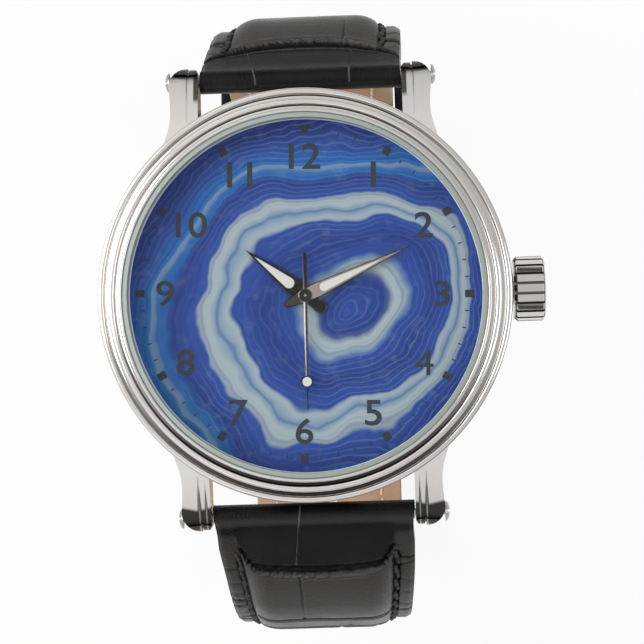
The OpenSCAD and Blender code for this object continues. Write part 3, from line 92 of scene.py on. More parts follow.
class Half:
    """One half of the strap: its path, width, thickness and surface."""

    def __init__(self, rise, shoulder_r, flank_turn, mirrored):
        self.mirrored = mirrored
        a = radians(rise)
        self.start = BAR_Y - NOSE_R * (cos(a) + sin(a)), BAR_Z - NOSE_R * (cos(a) - sin(a)), rise
        self.chain = [(2.2 * NOSE_R, 0.0), (radians(90 - rise) * shoulder_r, 90.0 - rise),
                      (radians(flank_turn) * FLANK_R, flank_turn)]
        self.flank_l = sum(c[0] for c in self.chain)
        y, z, h = self.walk(self.flank_l)
        self.corner_r = (z - LOOP_FLOOR_Z) / (1 + cos(radians(h)))
        self.corner_y = y - self.corner_r * sin(radians(h))
        self.corner_turn = 90.0 - flank_turn
        self.flank_turn = flank_turn
        self.chain.append((radians(self.corner_turn) * self.corner_r, self.corner_turn))

    def walk(self, s):
        p = self.start
        for i, (l, turn) in enumerate(self.chain):
            if s <= l or i == len(self.chain) - 1:
                return run_end(p, s, turn * s / l if l else 0.0)
            p = run_end(p, l, turn)
            s -= l

    def place(self, s, u, t):
        """World point in metres: s along the half, u across it, t out from the wrist side."""
        y, z, h = self.walk(s)
        y += t * sin(radians(h))
        z += t * cos(radians(h))
        lean = (0.3 if self.mirrored else 0.55) * smooth((s - 1.0) / 8.0) * (1 - smooth((s - 15.0) / 14.0))
        return Vector((u + lean, -y if self.mirrored else y, z)) * MM

    def axes(self, s):
        """Directions along the half and out from the wrist side."""
        h = radians(self.walk(s)[2])
        k = -1.0 if self.mirrored else 1.0
        return Vector((0, k * cos(h), -sin(h))), Vector((0, k * sin(h), cos(h)))


half_12 = Half(60.0, 24.2, 18.0, False)
half_12.chain.append((half_12.corner_y - BUCKLE_Y + BUCKLE_T / 2, 0.0))
half_12.length = sum(c[0] for c in half_12.chain)
half_12.end_w, half_12.end_t, half_12.end_r, half_12.tip_l = END_W, BUCKLE_T, BUCKLE_T / 2, 0.0
half_6 = Half(33.0, 20.0, 14.0, True)
LAYER = BUCKLE_T + LEATHER_GAP
CROSS = 36.0
cross_r = LAYER / (2 * (1 - cos(radians(CROSS))))
cross_run = 2 * cross_r * sin(radians(CROSS))
cross_end_y = BUCKLE_Y + 0.45
half_6.chain += [(half_6.corner_y + cross_end_y - cross_run, 0.0),
                 (radians(CROSS) * cross_r, -CROSS), (radians(CROSS) * cross_r, CROSS),
                 (half_12.corner_y - cross_end_y, 0.0),
                 (radians(half_12.corner_turn) * (half_12.corner_r + LAYER), half_12.corner_turn),
                 (radians(half_12.flank_turn) * (FLANK_R + LAYER), half_12.flank_turn)]
half_6.length = TAIL_L
half_6.end_w, half_6.end_t, half_6.end_r, half_6.tip_l = TAIL_W, TAIL_T, 0.0, TIP_L
used_hole_s = sum(c[0] for c in half_6.chain[:6])


def smooth(x):
    x = min(1.0, max(0.0, x))
    return x * x * (3 - 2 * x)


def bump(x, width):
    """A rounded bump of height 1 at 0 that ends at +-width."""
    x = abs(x) / width
    return 0.0 if x >= 1 else (1 - x * x) ** 2


def half_width(half, s):
    w = half.end_w + (STRAP_W - half.end_w) * max(0.0, 1 - s / TAPER_L) ** 3
    if half.tip_l and s > half.length - half.tip_l:
        w *= sqrt(max(0.0, 1 - ((s - half.length + half.tip_l) / half.tip_l) ** 2))
    wider = 0.15 * smooth((s - 2.5) / 2.0) * (1 - smooth((s - 22.0) / 12.0)) if half.mirrored else 0.0
    return w / 2 + wider


def border_t(half, s):
    full = 2.6 if half.mirrored else 3.6
    return (2 * NOSE_R + (full - 2 * NOSE_R) * smooth((s - NOSE_R) / 8.0)
            - (full - half.end_t) * smooth((s - 20.0) / 13.0))


def padding(half, s, u):
    """Height of the padding over the border."""
    if half.mirrored:
        high = 1.85 * smooth((s - 1.6) / 4.6) - 0.95 * smooth((s - 9.8) / 8.0)
        high -= 0.9 * smooth((s - 20.0) / 12.0)
    else:
        high = 1.26 * smooth((s - 3.9) / 6.0) * (1 - smooth((s - 20.0) / 13.0))
    flank = min(1.0, max(0.0, (half_width(half, s) - abs(u) - STITCH_IN + 0.1) / 3.0))
    return high * (1 - (1 - flank) ** 2.6)


# Creases between the rows of scales, and the lines that part the scales of each row
rng = random.Random(7)
FIRST = {"12": 4.3, "6": 5.2}
ROWS = {"12": [], "6": []}
for key, end in (("12", 64.0), ("6", 107.0)):
    s = FIRST[key] + 8.4
    while s < end:
        ROWS[key].append(s)
        s += rng.uniform(4.6, 5.8)
LINES = {"12": [[-4.4, 4.85]], "6": [[-1.33]]}
SLOPES = {-4.4: -0.25, 4.85: 0.0, -1.33: -0.155}
for key in ("12", "6"):
    for i in range(len(ROWS[key]) + 1):
        count = rng.choice((1, 2, 2, 3))
        at = sorted(rng.uniform(-5.6, 5.6) for _ in range(count))
        LINES[key].append([a for k, a in enumerate(at) if k == 0 or a - at[k - 1] > 2.2])
LINES["12"][1] = [3.9]
LINES["6"][1] = [-1.9]
WAVES = {key: [(rng.uniform(0.6, 1.4), rng.uniform(0, 6.28), rng.uniform(0.06, 0.16)) for _ in ROWS[key]]
         for key in ("12", "6")}
WRINKLES = {(key, side): [] for key in ("12", "6") for side in (-1, 1)}
for wk in WRINKLES:
    s = 4.2
    while s < (66.0 if wk[0] == "12" else 104.0):
        WRINKLES[wk].append((s, rng.uniform(0.05, 0.2), rng.uniform(0.2, 0.5), rng.uniform(-0.6, 0.6)))
        s += rng.uniform(0.8, 2.4)


def first_crease(key, u):
    """Where the smooth first scale ends and how wide the double crease after it is."""
    if key == "12":
        return 4.75 - 1.9 * (abs(u) / 9.8) ** 2.5, 1.25 * (1 - 0.7 * (abs(u) / 9.9) ** 4)
    at = 5.0 - 0.3 * (u / 6.5) ** 2 - 0.9 * smooth((abs(u) - 6.3) / 1.4)
    return at, 1.1 * (1 - 0.5 * min(1, abs(u) / 8) ** 4)


def surface(half, s, u):
    """Thickness of the strap at a place on its outer side, and how pale or dark its colour is painted there:
    pale for wear and for painted highlights and sheen, dark for painted shade in creases, furrows and the
    padded field; below 0 is dark.
    """
    key = "6" if half.mirrored else "12"
    w = half_width(half, s)
    t = border_t(half, s) + padding(half, s, u)
    inner = smooth((w - abs(u) - STITCH_IN + 0.2) / 0.9)
    fade = smooth((half.length - s - 5.0) / 3.0)
    start, wide = first_crease(key, u)
    ripple = 1 + 0.035 * sin(4.3 * u + 1) + 0.02 * sin(9.7 * u + 2)
    d = (s - start) / wide
    far = (s - start) / (wide * ripple)
    hold = inner if half.mirrored else max(inner, 0.4)
    low, wear_and_sheen = 0.0, 0.0
    # Painted shade on the field inside the stitching, from the nose to the first crease
    shade = -0.3 * smooth((s - 1.0) / 1.5) * (1 - smooth((far - 0.8) / 0.1)) * hold
    # The double crease: its floor with painted shade, a ridge in the middle, and edges painted pale as wear
    # and highlight
    if -0.6 < d < 2.0:
        low += 0.6 * hold * smooth(d / 0.22) * (1 - smooth((far - 0.88) / 0.12))
        low -= 0.3 * hold * bump(d - 0.46, 0.13)
        low -= 0.05 * hold * (bump(d + 0.2, 0.2) + bump(far - 1.12, 0.2))
        wear_and_sheen = hold * (0.5 * bump(d + 0.1, 0.1) + 0.62 * bump(far - 0.97, 0.1) + 0.25 * bump(d - 0.46, 0.08))
        top = 0.78 if half.mirrored else 0.86
        black = smooth((d - 0.55) / 0.1) * (1 - smooth((far - top) / 0.1))
        wear_and_sheen -= 0.9 * hold * (bump(d - 0.22, 0.2) + black)
    if half.mirrored:
        # On the 6 o'clock half: a painted sheen band across the nose, and the border outside the stitching
        # paler
        wear_and_sheen += 0.22 * bump(s - 1.2, 0.8)
        wear_and_sheen = max(wear_and_sheen, 0.2 * (1 - hold) * smooth((s - 2.2) / 0.9))
    # Past the first crease the rows are painted paler, as the grazing reflection on the padding
    row = 1 if far > 0.92 else 0
    if row:
        wear_and_sheen = max(wear_and_sheen, (0.24 if half.mirrored else 0.32) * smooth((far - 0.95) / 0.1))
    # The creases between the later rows, with painted shade in each and a paler lip past it, and the row that
    # this place is in
    for i, s0 in enumerate(ROWS[key]):
        k, phase, amp = WAVES[key][i]
        here = s0 + amp * sin(k * u + phase) - 0.35 * (1 - (u / 6.5) ** 2 if abs(u) < 6.5 else 0.0)
        if s > here:
            row = i + 2
        if abs(s - here) < 1.6:
            low += 0.22 * inner * bump(s - here, 0.5)
            low -= 0.05 * inner * bump(s - here - 0.85, 0.6)
            wear_and_sheen += inner * (0.2 * bump(s - here - 0.7, 0.4) - 0.6 * bump(s - here, 0.35))
    # The lines that part the scales of the row: painted pale highlight lines in the first row, painted shade
    # in the later rows
    for a in LINES[key][row]:
        off = u - a - SLOPES.get(a, 0.0) * s
        if row == 0:
            part = 1 - smooth((d + 0.1) / 0.2)
            low += part * inner * (0.12 * bump(off, 0.13) - 0.03 * bump(off - 0.22, 0.16))
            wear_and_sheen += 0.95 * part * inner * bump(off, 0.1)
        elif d > 1:
            low += 0.1 * inner * bump(off, 0.3)
            wear_and_sheen -= 0.25 * inner * bump(off, 0.22)
    # The edge outside the stitching: painted paler, with small wrinkles across it that have a pale lip and
    # painted shade in their folds
    side = 1 if u > 0 else -1
    edge = (1 - inner) * smooth((s - 3.6) / 2.0)
    if edge > 0.01:
        wear_and_sheen = max(wear_and_sheen, 0.2 * edge)
        for s0, amp, width, lean in WRINKLES[(key, side)]:
            gap = s - s0 - lean * (abs(u) - w + 1.7) / 1.7
            if abs(gap) < width + 0.5:
                low += amp * edge * bump(gap, width)
                wear_and_sheen += edge * (0.9 * amp * bump(gap - width, 0.4) - 2.4 * amp * bump(gap, width * 0.8))
    # The furrow that the stitches lie in, with painted shade, and the rolled rim
    if 4.4 < s < half.length - 4.5:
        stitch = smooth((s - 4.4) / 1.2) * bump(abs(u) - (w - STITCH_IN), 0.55)
        low += 0.34 * stitch
        wear_and_sheen -= 0.5 * stitch
    low *= fade if s > half.length - 10 else 1.0
    roll = 0.26 * bump(max(0.0, abs(u) - (w - 0.55)), 0.57) - 0.26 if abs(u) > w - 0.55 else 0.0
    return t - low + roll, max(-1.0, min(1.0, wear_and_sheen + shade))


def add(name, data):
    """Puts a new object into the scene."""
    made = bpy.data.objects.new(name, data)
    scene.collection.objects.link(made)
    return made


def coat(piece, *mats):
    """Gives a piece its materials and returns it."""
    piece.data.materials.clear()
    for mat in mats:
        piece.data.materials.append(mat)
    return piece


def mesh_piece(name, verts, faces, smooth_shade=True):
    mesh = bpy.data.meshes.new(name)
    mesh.from_pydata([tuple(v) for v in verts], [], faces)
    mesh.validate()
    if smooth_shade:
        mesh.polygons.foreach_set("use_smooth", [True] * len(mesh.polygons))
    return add(name, mesh)


def clean(piece, dist=1e-7):
    bm = bmesh.new()
    bm.from_mesh(piece.data)
    bmesh.ops.remove_doubles(bm, verts=bm.verts, dist=dist)
    bmesh.ops.dissolve_degenerate(bm, edges=bm.edges, dist=dist)
    bmesh.ops.recalc_face_normals(bm, faces=bm.faces)
    bm.to_mesh(piece.data)
    bm.free()
    return piece


def closed_grid(rows, around=False, first=0):
    """Vertices and faces of a tube through equal closed rows of points, round to its start or capped."""
    n, m = len(rows), len(rows[0])
    verts = [p for row in rows for p in row]
    faces = [tuple(first + (i + di) % n * m + (j + dj) % m for di, dj in ((0, 0), (0, 1), (1, 1), (1, 0)))
             for i in range(n if around else n - 1) for j in range(m)]
    if not around:
        faces.append(tuple(first + j for j in range(m - 1, -1, -1)))
        faces.append(tuple(first + (n - 1) * m + j for j in range(m)))
    return verts, faces


def solid(name, grids, smooth_shade=True, around=False, dist=1e-7):
    """A clean piece made of one or more closed grids."""
    verts, faces = [], []
    for rows in grids:
        more, sides = closed_grid(rows, around, len(verts))
        verts += more
        faces += sides
    return clean(mesh_piece(name, verts, faces, smooth_shade), dist)


def cut(piece, cutters):
    """Cuts the cutters' solids out of a piece, exactly, and applies it."""
    for cutter in cutters:
        mod = piece.modifiers.new("cut", "BOOLEAN")
        mod.operation = "DIFFERENCE"
        mod.solver = "EXACT"
        mod.object = cutter
    bpy.context.view_layer.update()
    made = bpy.data.meshes.new_from_object(piece.evaluated_get(bpy.context.evaluated_depsgraph_get()))
    piece.modifiers.clear()
    old = piece.data
    piece.data = made
    bpy.data.meshes.remove(old)
    for cutter in cutters:
        data = cutter.data
        bpy.data.objects.remove(cutter)
        bpy.data.meshes.remove(data)
    made.polygons.foreach_set("use_smooth", [True] * len(made.polygons))
    made.set_sharp_from_angle(angle=radians(38))
    return piece


def circle(r, sides=72):
    return [(r * cos(2 * pi * i / sides), r * sin(2 * pi * i / sides)) for i in range(sides)]


def rod(name, r, length, y, z):
    """A round bar across the watch, in millimetres."""
    return solid(name, [[[Vector((x, y + a, z + b)) * MM for a, b in circle(r, 48)]
                         for x in (-length / 2, length / 2)]])


def prism(name, outline, mid, along, up, reach):
    """A prism for cutting the strap, with its outline across and along it."""
    return solid(name, [[[mid + (Vector((a, 0, 0)) + along * b + up * t) * MM for a, b in outline]
                         for t in reach]], False)


# Materials
def material(name, color, roughness=0.5, metallic=0.0, **more):
    mat = bpy.data.materials.new(name)
    mat.use_nodes = True
    shader = mat.node_tree.nodes["Principled BSDF"]
    shader.inputs["Base Color"].default_value = (*color, 1.0)
    shader.inputs["Roughness"].default_value = roughness
    shader.inputs["Metallic"].default_value = metallic
    for key, value in more.items():
        shader.inputs[key.replace("_", " ")].default_value = value
    return mat


class Tree:
    """Short ways to add nodes to a material or to the world."""

    def __init__(self, owner, coords="Object"):
        self.nodes = owner.node_tree.nodes
        self.links = owner.node_tree.links
        self.shader = self.nodes.get("Principled BSDF")
        self.place = self.node("TexCoord").outputs[coords]

    def node(self, kind, inputs=None, **props):
        made = self.nodes.new("ShaderNode" + kind)
        for key, value in props.items():
            setattr(made, key, value)
        for key, value in (inputs or {}).items():
            socket = made.inputs[key]
            if isinstance(value, bpy.types.NodeSocket):
                self.links.new(value, socket)
            else:
                socket.default_value = (*value, 1.0) if socket.type == "RGBA" else value
        return made

    def noise(self, scale, detail=3.0, rough=0.5, vector=None):
        return self.node("TexNoise", {"Vector": vector or self.place, "Scale": scale, "Detail": detail,
                                      "Roughness": rough}).outputs["Fac"]

    def ramp(self, fac, stops):
        """A colour ramp. A stop that is a single number is a grey."""
        made = self.node("ValToRGB", {"Fac": fac})
        ramp = made.color_ramp
        while len(ramp.elements) < len(stops):
            ramp.elements.new(0.5)
        for element, (at, color) in zip(ramp.elements, stops):
            element.position = at
            element.color = (*color, 1.0) if isinstance(color, tuple) else (color, color, color, 1.0)
        return made.outputs["Color"]

    def span(self, value, lo, hi, to_lo=0.0, to_hi=1.0):
        return self.node("MapRange", {"Value": value, "From Min": lo, "From Max": hi,
                                      "To Min": to_lo, "To Max": to_hi}).outputs["Result"]

    def math(self, op, a, b=0.0):
        return self.node("Math", {0: a, 1: b}, operation=op).outputs[0]

    def plus(self, a, b):
        return self.math("ADD", a, b)

    def times(self, a, b):
        return self.math("MULTIPLY", a, b)

    def most(self, a, b):
        return self.math("MAXIMUM", a, b)

    def away(self, a, b):
        """How far a is from b."""
        return self.math("ABSOLUTE", self.math("SUBTRACT", a, b))

    def mix(self, fac, a, b):
        return self.node("Mix", {0: fac, 6: a, 7: b}, data_type="RGBA").outputs[2]

    def axes(self):
        split = self.node("SeparateXYZ", {0: self.place})
        return split.outputs["X"], split.outputs["Y"], split.outputs["Z"]

    def reach(self, a, b):
        return self.math("SQRT", self.plus(self.times(a, a), self.times(b, b)))

    def within(self, value, lo, hi, soft):
        """1 between two values in metres, fading to 0 over a short way outside them."""
        return self.times(self.span(value, lo - soft, lo), self.span(value, hi, hi + soft, 1.0, 0.0))

    def color(self, socket):
        self.links.new(socket, self.shader.inputs["Base Color"])

    def rough(self, socket):
        self.links.new(socket, self.shader.inputs["Roughness"])

    def bump(self, height, strength, distance):
        made = self.node("Bump", {"Height": height, "Strength": strength, "Distance": distance})
        self.links.new(made.outputs["Normal"], self.shader.inputs["Normal"])


def steel(name, color, rough, wear_and_sheen=0.03, brushed=None, shade=None):
    """Polished or brushed steel, with faint smudges and hairlines. shade(tree, tone) can paint shade and
    reflections into the colour.
    """
    mat = material(name, color, rough, 1.0)
    t = Tree(mat)
    t.rough(t.span(t.noise(160.0, 4.0, 0.6), 0.3, 0.7, rough, rough + wear_and_sheen))
    drawn = t.node("Mapping", {"Vector": t.place, "Scale": brushed or (2200.0, 400.0, 2200.0)})
    lines = t.noise(1.0, 2.0, 0.5, drawn.outputs["Vector"])
    darker = tuple(c * 0.82 for c in color)
    tone = t.mix(t.span(lines, 0.35, 0.75, 0.0, 0.35 if brushed else 0.12), color, darker)
    t.color(shade(t, tone) if shade else tone)
    if brushed:
        t.bump(lines, 0.25, 0.00002)
    return mat


def leather(name, color, light, rough, grain, depth, worn_and_lit=None):
    """Grained leather: pores and fine creases in the bump. Given a pale tone, it is painted paler where its
    point attribute is above 0, for wear and painted sheen, and near black where it is below 0, as painted
    shade.
    """
    mat = material(name, color, rough, 0.0, Specular_IOR_Level=0.16 if worn_and_lit else 0.3)
    t = Tree(mat)
    cells = t.node("TexVoronoi", {"Vector": t.place, "Scale": grain, "Randomness": 1.0},
                   feature="DISTANCE_TO_EDGE").outputs["Distance"]
    pores = t.noise(grain * 2.2, 4.0, 0.6)
    broad = t.noise(220.0, 3.0, 0.55)
    t.bump(t.plus(t.span(cells, 0.0, 0.18), t.times(pores, 0.6)), 0.45, depth)
    tone = t.mix(t.span(broad, 0.35, 0.7), color, light)
    gloss = t.plus(t.span(broad, 0.3, 0.7, rough - 0.06, rough + 0.06), t.span(cells, 0.0, 0.1, 0.08, 0.0))
    if worn_and_lit:
        wear_and_sheen = t.node("Attribute", attribute_name="wear_and_sheen").outputs["Fac"]
        pale = t.times(t.span(wear_and_sheen, 0.0, 1.0), t.span(pores, 0.25, 0.6, 0.75, 1.0))
        deep = t.span(wear_and_sheen, -1.0, 0.0, 1.0, 0.0)
        # Near black where the attribute is below 0: painted shade in creases and furrows
        tone = t.mix(deep, t.mix(pale, tone, worn_and_lit), (0.0012, 0.0012, 0.0012))
        gloss = t.plus(gloss, t.times(deep, 0.5))
    t.color(tone)
    t.rough(gloss)
    return mat


WARM = (0.80, 0.775, 0.745)
# Near black painted into the steel as shade and dark reflection: on the lug lines and inner facets, in the
# bezel grooves and on its sides and rim, and in the crown flutes
SHADE_DARK = (0.035, 0.032, 0.031)
# Painted dark reflection for the rounded lug ends, and the painted glint lines in it
LUG_END_REFLECTION, LUG_GLINT = (0.055, 0.052, 0.05), (0.34, 0.32, 0.31)


def lug_shade(t, tone):
    """Painted reflections on the lugs: dark rounded lug ends with painted glint lines at the 6 o'clock ends,
    two dark lines along each lug, and a dark inner facet on the 12 o'clock lugs.
    """
    x, y, _ = t.axes()
    across = t.math("ABSOLUTE", x)
    r = t.reach(x, y)
    bow = t.plus(y, t.times(t.away(across, 0.0113), -0.22))
    # The rounded ends of the lugs, where the dark reflection is painted
    end = t.most(t.span(bow, -0.0208, -0.0205, 1.0, 0.0), t.span(y, 0.0216, 0.0219))
    along = t.most(t.span(y, 0.0192, 0.0204, 0.25, 0.8), t.span(y, -0.0190, -0.0160, 0.9, 0.0))
    first, second = t.away(across, 0.01112), t.away(across, 0.01045)
    wedge = t.span(y, -0.0207, -0.0180, 0.00021, 0.00005)
    on_line = t.math("LESS_THAN", t.math("MINIMUM", first, t.plus(second, 0.00004)), wedge)
    line = t.times(t.times(on_line, along), t.span(r, 0.0205, 0.0207))
    upper = t.times(t.span(y, 0.0191, 0.0196, 0.0, 0.9), t.span(r, 0.0207, 0.0210))
    inner = t.times(t.within(across, 0.0, 0.01042, 0.00005), upper)
    # Painted dark reflection lines along each lug, and a dark inner facet toward 12 o'clock
    tone = t.mix(t.most(t.times(line, 0.85), inner), tone, SHADE_DARK)
    glint = t.most(t.span(first, 0.00004, 0.00010, 1.0, 0.0), t.span(second, 0.00003, 0.00009, 1.0, 0.0))
    return t.mix(end, tone, t.mix(t.times(glint, t.math("LESS_THAN", y, 0.0)), LUG_END_REFLECTION, LUG_GLINT))


def bezel_shade(t, tone):
    """Painted shade and reflection in the turned bezel: dark in the two grooves, broad toward 6 o'clock, a
    fine line toward 12, faint at the sides.
    """
    x, y, _ = t.axes()
    r = t.reach(x, y)
    up, side = t.math("DIVIDE", y, r), t.math("DIVIDE", x, r)
    soft = 0.00003
    broad = t.most(t.within(r, 0.01800, 0.01836, soft), t.within(r, 0.01896, 0.01934, soft))
    fine = t.most(t.within(r, 0.01821, 0.01832, soft), t.within(r, 0.01922, 0.01934, soft))
    at_low = t.ramp(t.span(up, -1.0, 1.0), [(0.0, 1.0), (0.13, 0.9), (0.26, 0.5), (0.38, 0.2), (0.7, 0.08),
                                            (1.0, 0.05)])
    at_top = t.most(t.span(up, 0.55, 0.9, 0.15, 1.0), t.span(up, -0.6, -0.1, 0.75, 0.15))
    dark = t.most(t.times(broad, at_low), t.times(fine, at_top))
    # A painted dark edge at the outer rim, darkest toward the lower right
    rim = t.times(t.span(r, 0.01990, 0.01996), t.span(t.math("SUBTRACT", side, up), -0.5, 1.0, 0.1, 0.8))
    # The left and right sides of the bezel painted a little darker, as reflection
    tone = t.mix(t.plus(t.span(side, 0.35, 0.8, 0.0, 0.2), t.span(side, -0.8, -0.45, 0.17, 0.0)), tone, SHADE_DARK)
    return t.mix(t.most(dark, rim), tone, SHADE_DARK)


def crown_shade(t, tone):
    """Painted shade in the flutes of the crown."""
    x, y, z = t.axes()
    r = t.reach(y, t.math("SUBTRACT", z, crown_z))
    along = t.within(x, crown_x0 + 0.00012, crown_x1 - 0.0002, 0.00003)
    return t.mix(t.times(t.span(r, 0.00302, 0.00308, 0.85, 0.0), along), tone, SHADE_DARK)


crown_box = [nodes["crown"].matrix_world @ v.co for v in nodes["crown"].data.vertices]
crown_z = (min(v.z for v in crown_box) + max(v.z for v in crown_box)) / 2
crown_x0, crown_x1 = min(v.x for v in crown_box), max(v.x for v in crown_box)
m_case = steel("case_steel", WARM, 0.07, shade=lug_shade)
m_bezel = steel("bezel_steel", WARM, 0.06, shade=bezel_shade)
m_crown = steel("crown_steel", (0.64, 0.62, 0.59), 0.14, shade=crown_shade)
m_screw = steel("screw_steel", (0.40, 0.39, 0.38), 0.22)
m_back = steel("back_steel", (0.66, 0.65, 0.63), 0.24, 0.08, (900.0, 9000.0, 900.0))
m_small = steel("small_steel", (0.56, 0.56, 0.56), 0.22)
m_buckle = steel("buckle_steel", WARM, 0.08)
m_brass = steel("wheel_brass", (0.78, 0.58, 0.25), 0.22, 0.08, (5000.0, 5000.0, 900.0))
m_plate = steel("plate_brass", (0.7, 0.58, 0.34), 0.34, 0.1, (1800.0, 1800.0, 1800.0))
m_bridge = steel("bridge_steel", (0.68, 0.67, 0.64), 0.26, 0.08, (600.0, 7000.0, 600.0))
m_iron = steel("soft_iron", (0.36, 0.36, 0.38), 0.42, 0.1)
m_cell = steel("cell_steel", (0.7, 0.7, 0.69), 0.24, 0.1, (4000.0, 900.0, 900.0))
# The last colour is the strap's pale tone, for wear and painted sheen
m_leather = leather("strap_leather", (0.0035, 0.0035, 0.0042), (0.007, 0.007, 0.008), 0.3, 2600.0, 0.00003,
                    (0.135, 0.128, 0.12))
m_lining = leather("strap_lining", (0.42, 0.27, 0.17), (0.52, 0.35, 0.235), 0.55, 3200.0, 0.00003)


def plain(name, color, rough, scale, depth, light=1.15, **more):
    """A moulded or painted surface with a fine texture and a slight change of tone."""
    mat = material(name, color, rough, 0.0, **more)
    t = Tree(mat)
    fine = t.noise(scale, 3.0, 0.6)
    t.color(t.mix(t.span(fine, 0.3, 0.7), color, tuple(min(1.0, c * light) for c in color)))
    t.bump(fine, 0.3, depth)
    return mat


m_gasket = plain("gasket", (0.30, 0.335, 0.30), 0.4, 3000.0, 0.00001)
m_rubber = plain("black_rubber", (0.02, 0.02, 0.02), 0.6, 5000.0, 0.00001)
m_ring = plain("dial_ring_white", (0.93, 0.98, 0.97), 0.3, 3000.0, 0.000005, 1.02)
m_lume = plain("lume_fill", (0.78, 0.78, 0.73), 0.55, 9000.0, 0.000012, 1.08)
m_resin = plain("white_resin", (0.74, 0.74, 0.70), 0.45, 2500.0, 0.00001, 1.05)
m_board = plain("board_green", (0.03, 0.16, 0.07), 0.35, 1500.0, 0.00001, 1.5)
m_black = plain("seconds_black", (0.012, 0.012, 0.012), 0.22, 4000.0, 0.000004)
m_print = plain("dial_print", (0.040, 0.052, 0.066), 0.5, 6000.0, 0.000003, 1.2, Specular_IOR_Level=0.2)
m_thread = plain("thread_black", (0.006, 0.006, 0.006), 0.6, 9000.0, 0.00002, 2.2)
m_cream = plain("thread_cream", (0.66, 0.55, 0.40), 0.7, 9000.0, 0.00002, 1.15)
m_bevel = plain("crystal_bevel", (0.34, 0.385, 0.345), 0.32, 5000.0, 0.000004, 1.08)
m_wall = plain("dial_ring_grey", (0.46, 0.51, 0.47), 0.4, 3000.0, 0.000005, 1.06)

m_copper = material("copper_wire", (0.45, 0.15, 0.05), 0.3, 0.7)
t = Tree(m_copper)
along_coil = t.node("Mapping", {"Vector": t.place, "Rotation": (0, 0, radians(-33.2))}).outputs["Vector"]
turns = t.node("TexWave", {"Vector": along_coil, "Scale": 2600.0, "Distortion": 0.3},
               wave_type="BANDS", bands_direction="X").outputs["Fac"]
t.bump(turns, 0.7, 0.00003)
t.color(t.mix(turns, (0.16, 0.05, 0.02), (0.55, 0.2, 0.07)))

# Clear crystal, seen through from either side, with a plain gloss
m_crystal = material("crystal_clear", (0.02, 0.022, 0.024), 0.02, 0.0, IOR=1.5, Alpha=0.07)
t = Tree(m_crystal)
t.rough(t.span(t.noise(120.0, 2.0, 0.5), 0.3, 0.7, 0.01, 0.035))

# Dial: banded blue agate, with growth lines round a core and a broad pale seam
m_dial = material("dial_agate", (0.03, 0.08, 0.34), 0.35, 0.0, Specular_IOR_Level=0.25)
t = Tree(m_dial)
warp = t.node("TexNoise", {"Vector": t.place, "Scale": 95.0, "Detail": 3.0, "Roughness": 0.5})
bent = t.node("VectorMath", {0: warp.outputs["Color"], 1: (0.0065, 0.0065, 0.0), 2: t.place},
              operation="MULTIPLY_ADD")
core = t.node("VectorMath", {0: bent.outputs["Vector"], 1: (0.0075, 0.0005, DIAL_Z * MM)},
              operation="DISTANCE")
field = t.plus(t.times(core.outputs["Value"], 46.0), t.span(t.noise(52.0, 1.0), 0.25, 0.75, -0.16, 0.16))
DEEP, MID, BRIGHT = (0.018, 0.05, 0.27), (0.026, 0.085, 0.39), (0.016, 0.17, 0.52)
PALE, CHALK = (0.20, 0.33, 0.50), (0.42, 0.52, 0.55)
tone = t.ramp(field, [(0.0, MID), (0.13, DEEP), (0.17, CHALK), (0.21, CHALK), (0.225, PALE), (0.25, MID),
                      (0.36, DEEP), (0.47, MID), (0.485, CHALK), (0.53, PALE), (0.56, CHALK), (0.60, CHALK),
                      (0.615, MID), (0.72, DEEP), (0.78, BRIGHT), (0.82, PALE), (0.835, BRIGHT),
                      (0.93, MID), (1.0, DEEP)])
lines = t.math("SINE", t.times(field, 210.0))
fine = t.times(t.span(lines, 0.5, 1.0, 0.0, 0.30), t.span(t.noise(85.0), 0.4, 0.6, 0.2, 1.0))
tone = t.mix(fine, tone, PALE)
dark = t.math("SINE", t.math("MULTIPLY_ADD", field, 97.0))
tone = t.mix(t.span(dark, 0.6, 1.0, 0.0, 0.35), tone, DEEP)
t.color(t.mix(t.span(t.noise(900.0, 3.0, 0.6), 0.55, 0.75, 0.0, 0.12), tone, CHALK))


def soften(node, angle=32.0):
    """Smooth shading on a CAD node: normals are shared by the faces that meet under an angle."""
    mesh = nodes[node].data
    count = len(mesh.polygons)
    if not count:
        return
    mesh.polygons.foreach_set("use_smooth", [True] * count)
    normals = np.zeros(count * 3)
    mesh.polygons.foreach_get("normal", normals)
    normals = normals.reshape(-1, 3)
    area = np.zeros(count)
    mesh.polygons.foreach_get("area", area)
    co = np.zeros(len(mesh.vertices) * 3)
    mesh.vertices.foreach_get("co", co)
    keys = np.round(co.reshape(-1, 3) * 1e7).astype(np.int64)
    _, place = np.unique(keys, axis=0, return_inverse=True)
    place = place.reshape(-1)
    loops = np.zeros(len(mesh.loops), np.int64)
    mesh.loops.foreach_get("vertex_index", loops)
    face_of = np.repeat(np.arange(count), [p.loop_total for p in mesh.polygons])
    at = place[loops]
    order = np.argsort(at, kind="stable")
    starts = np.searchsorted(at[order], np.arange(at.max() + 2))
    limit = cos(radians(angle))
    out = np.zeros((len(loops), 3))
    for k in range(len(starts) - 1):
        group = order[starts[k]:starts[k + 1]]
        f = face_of[group]
        n = normals[f]
        close = (n @ n.T) >= limit
        total = close @ (n * area[f][:, None])
        length = np.linalg.norm(total, axis=1)
        length[length == 0] = 1.0
        out[group] = total / length[:, None]
    mesh.normals_split_custom_set(out.tolist())


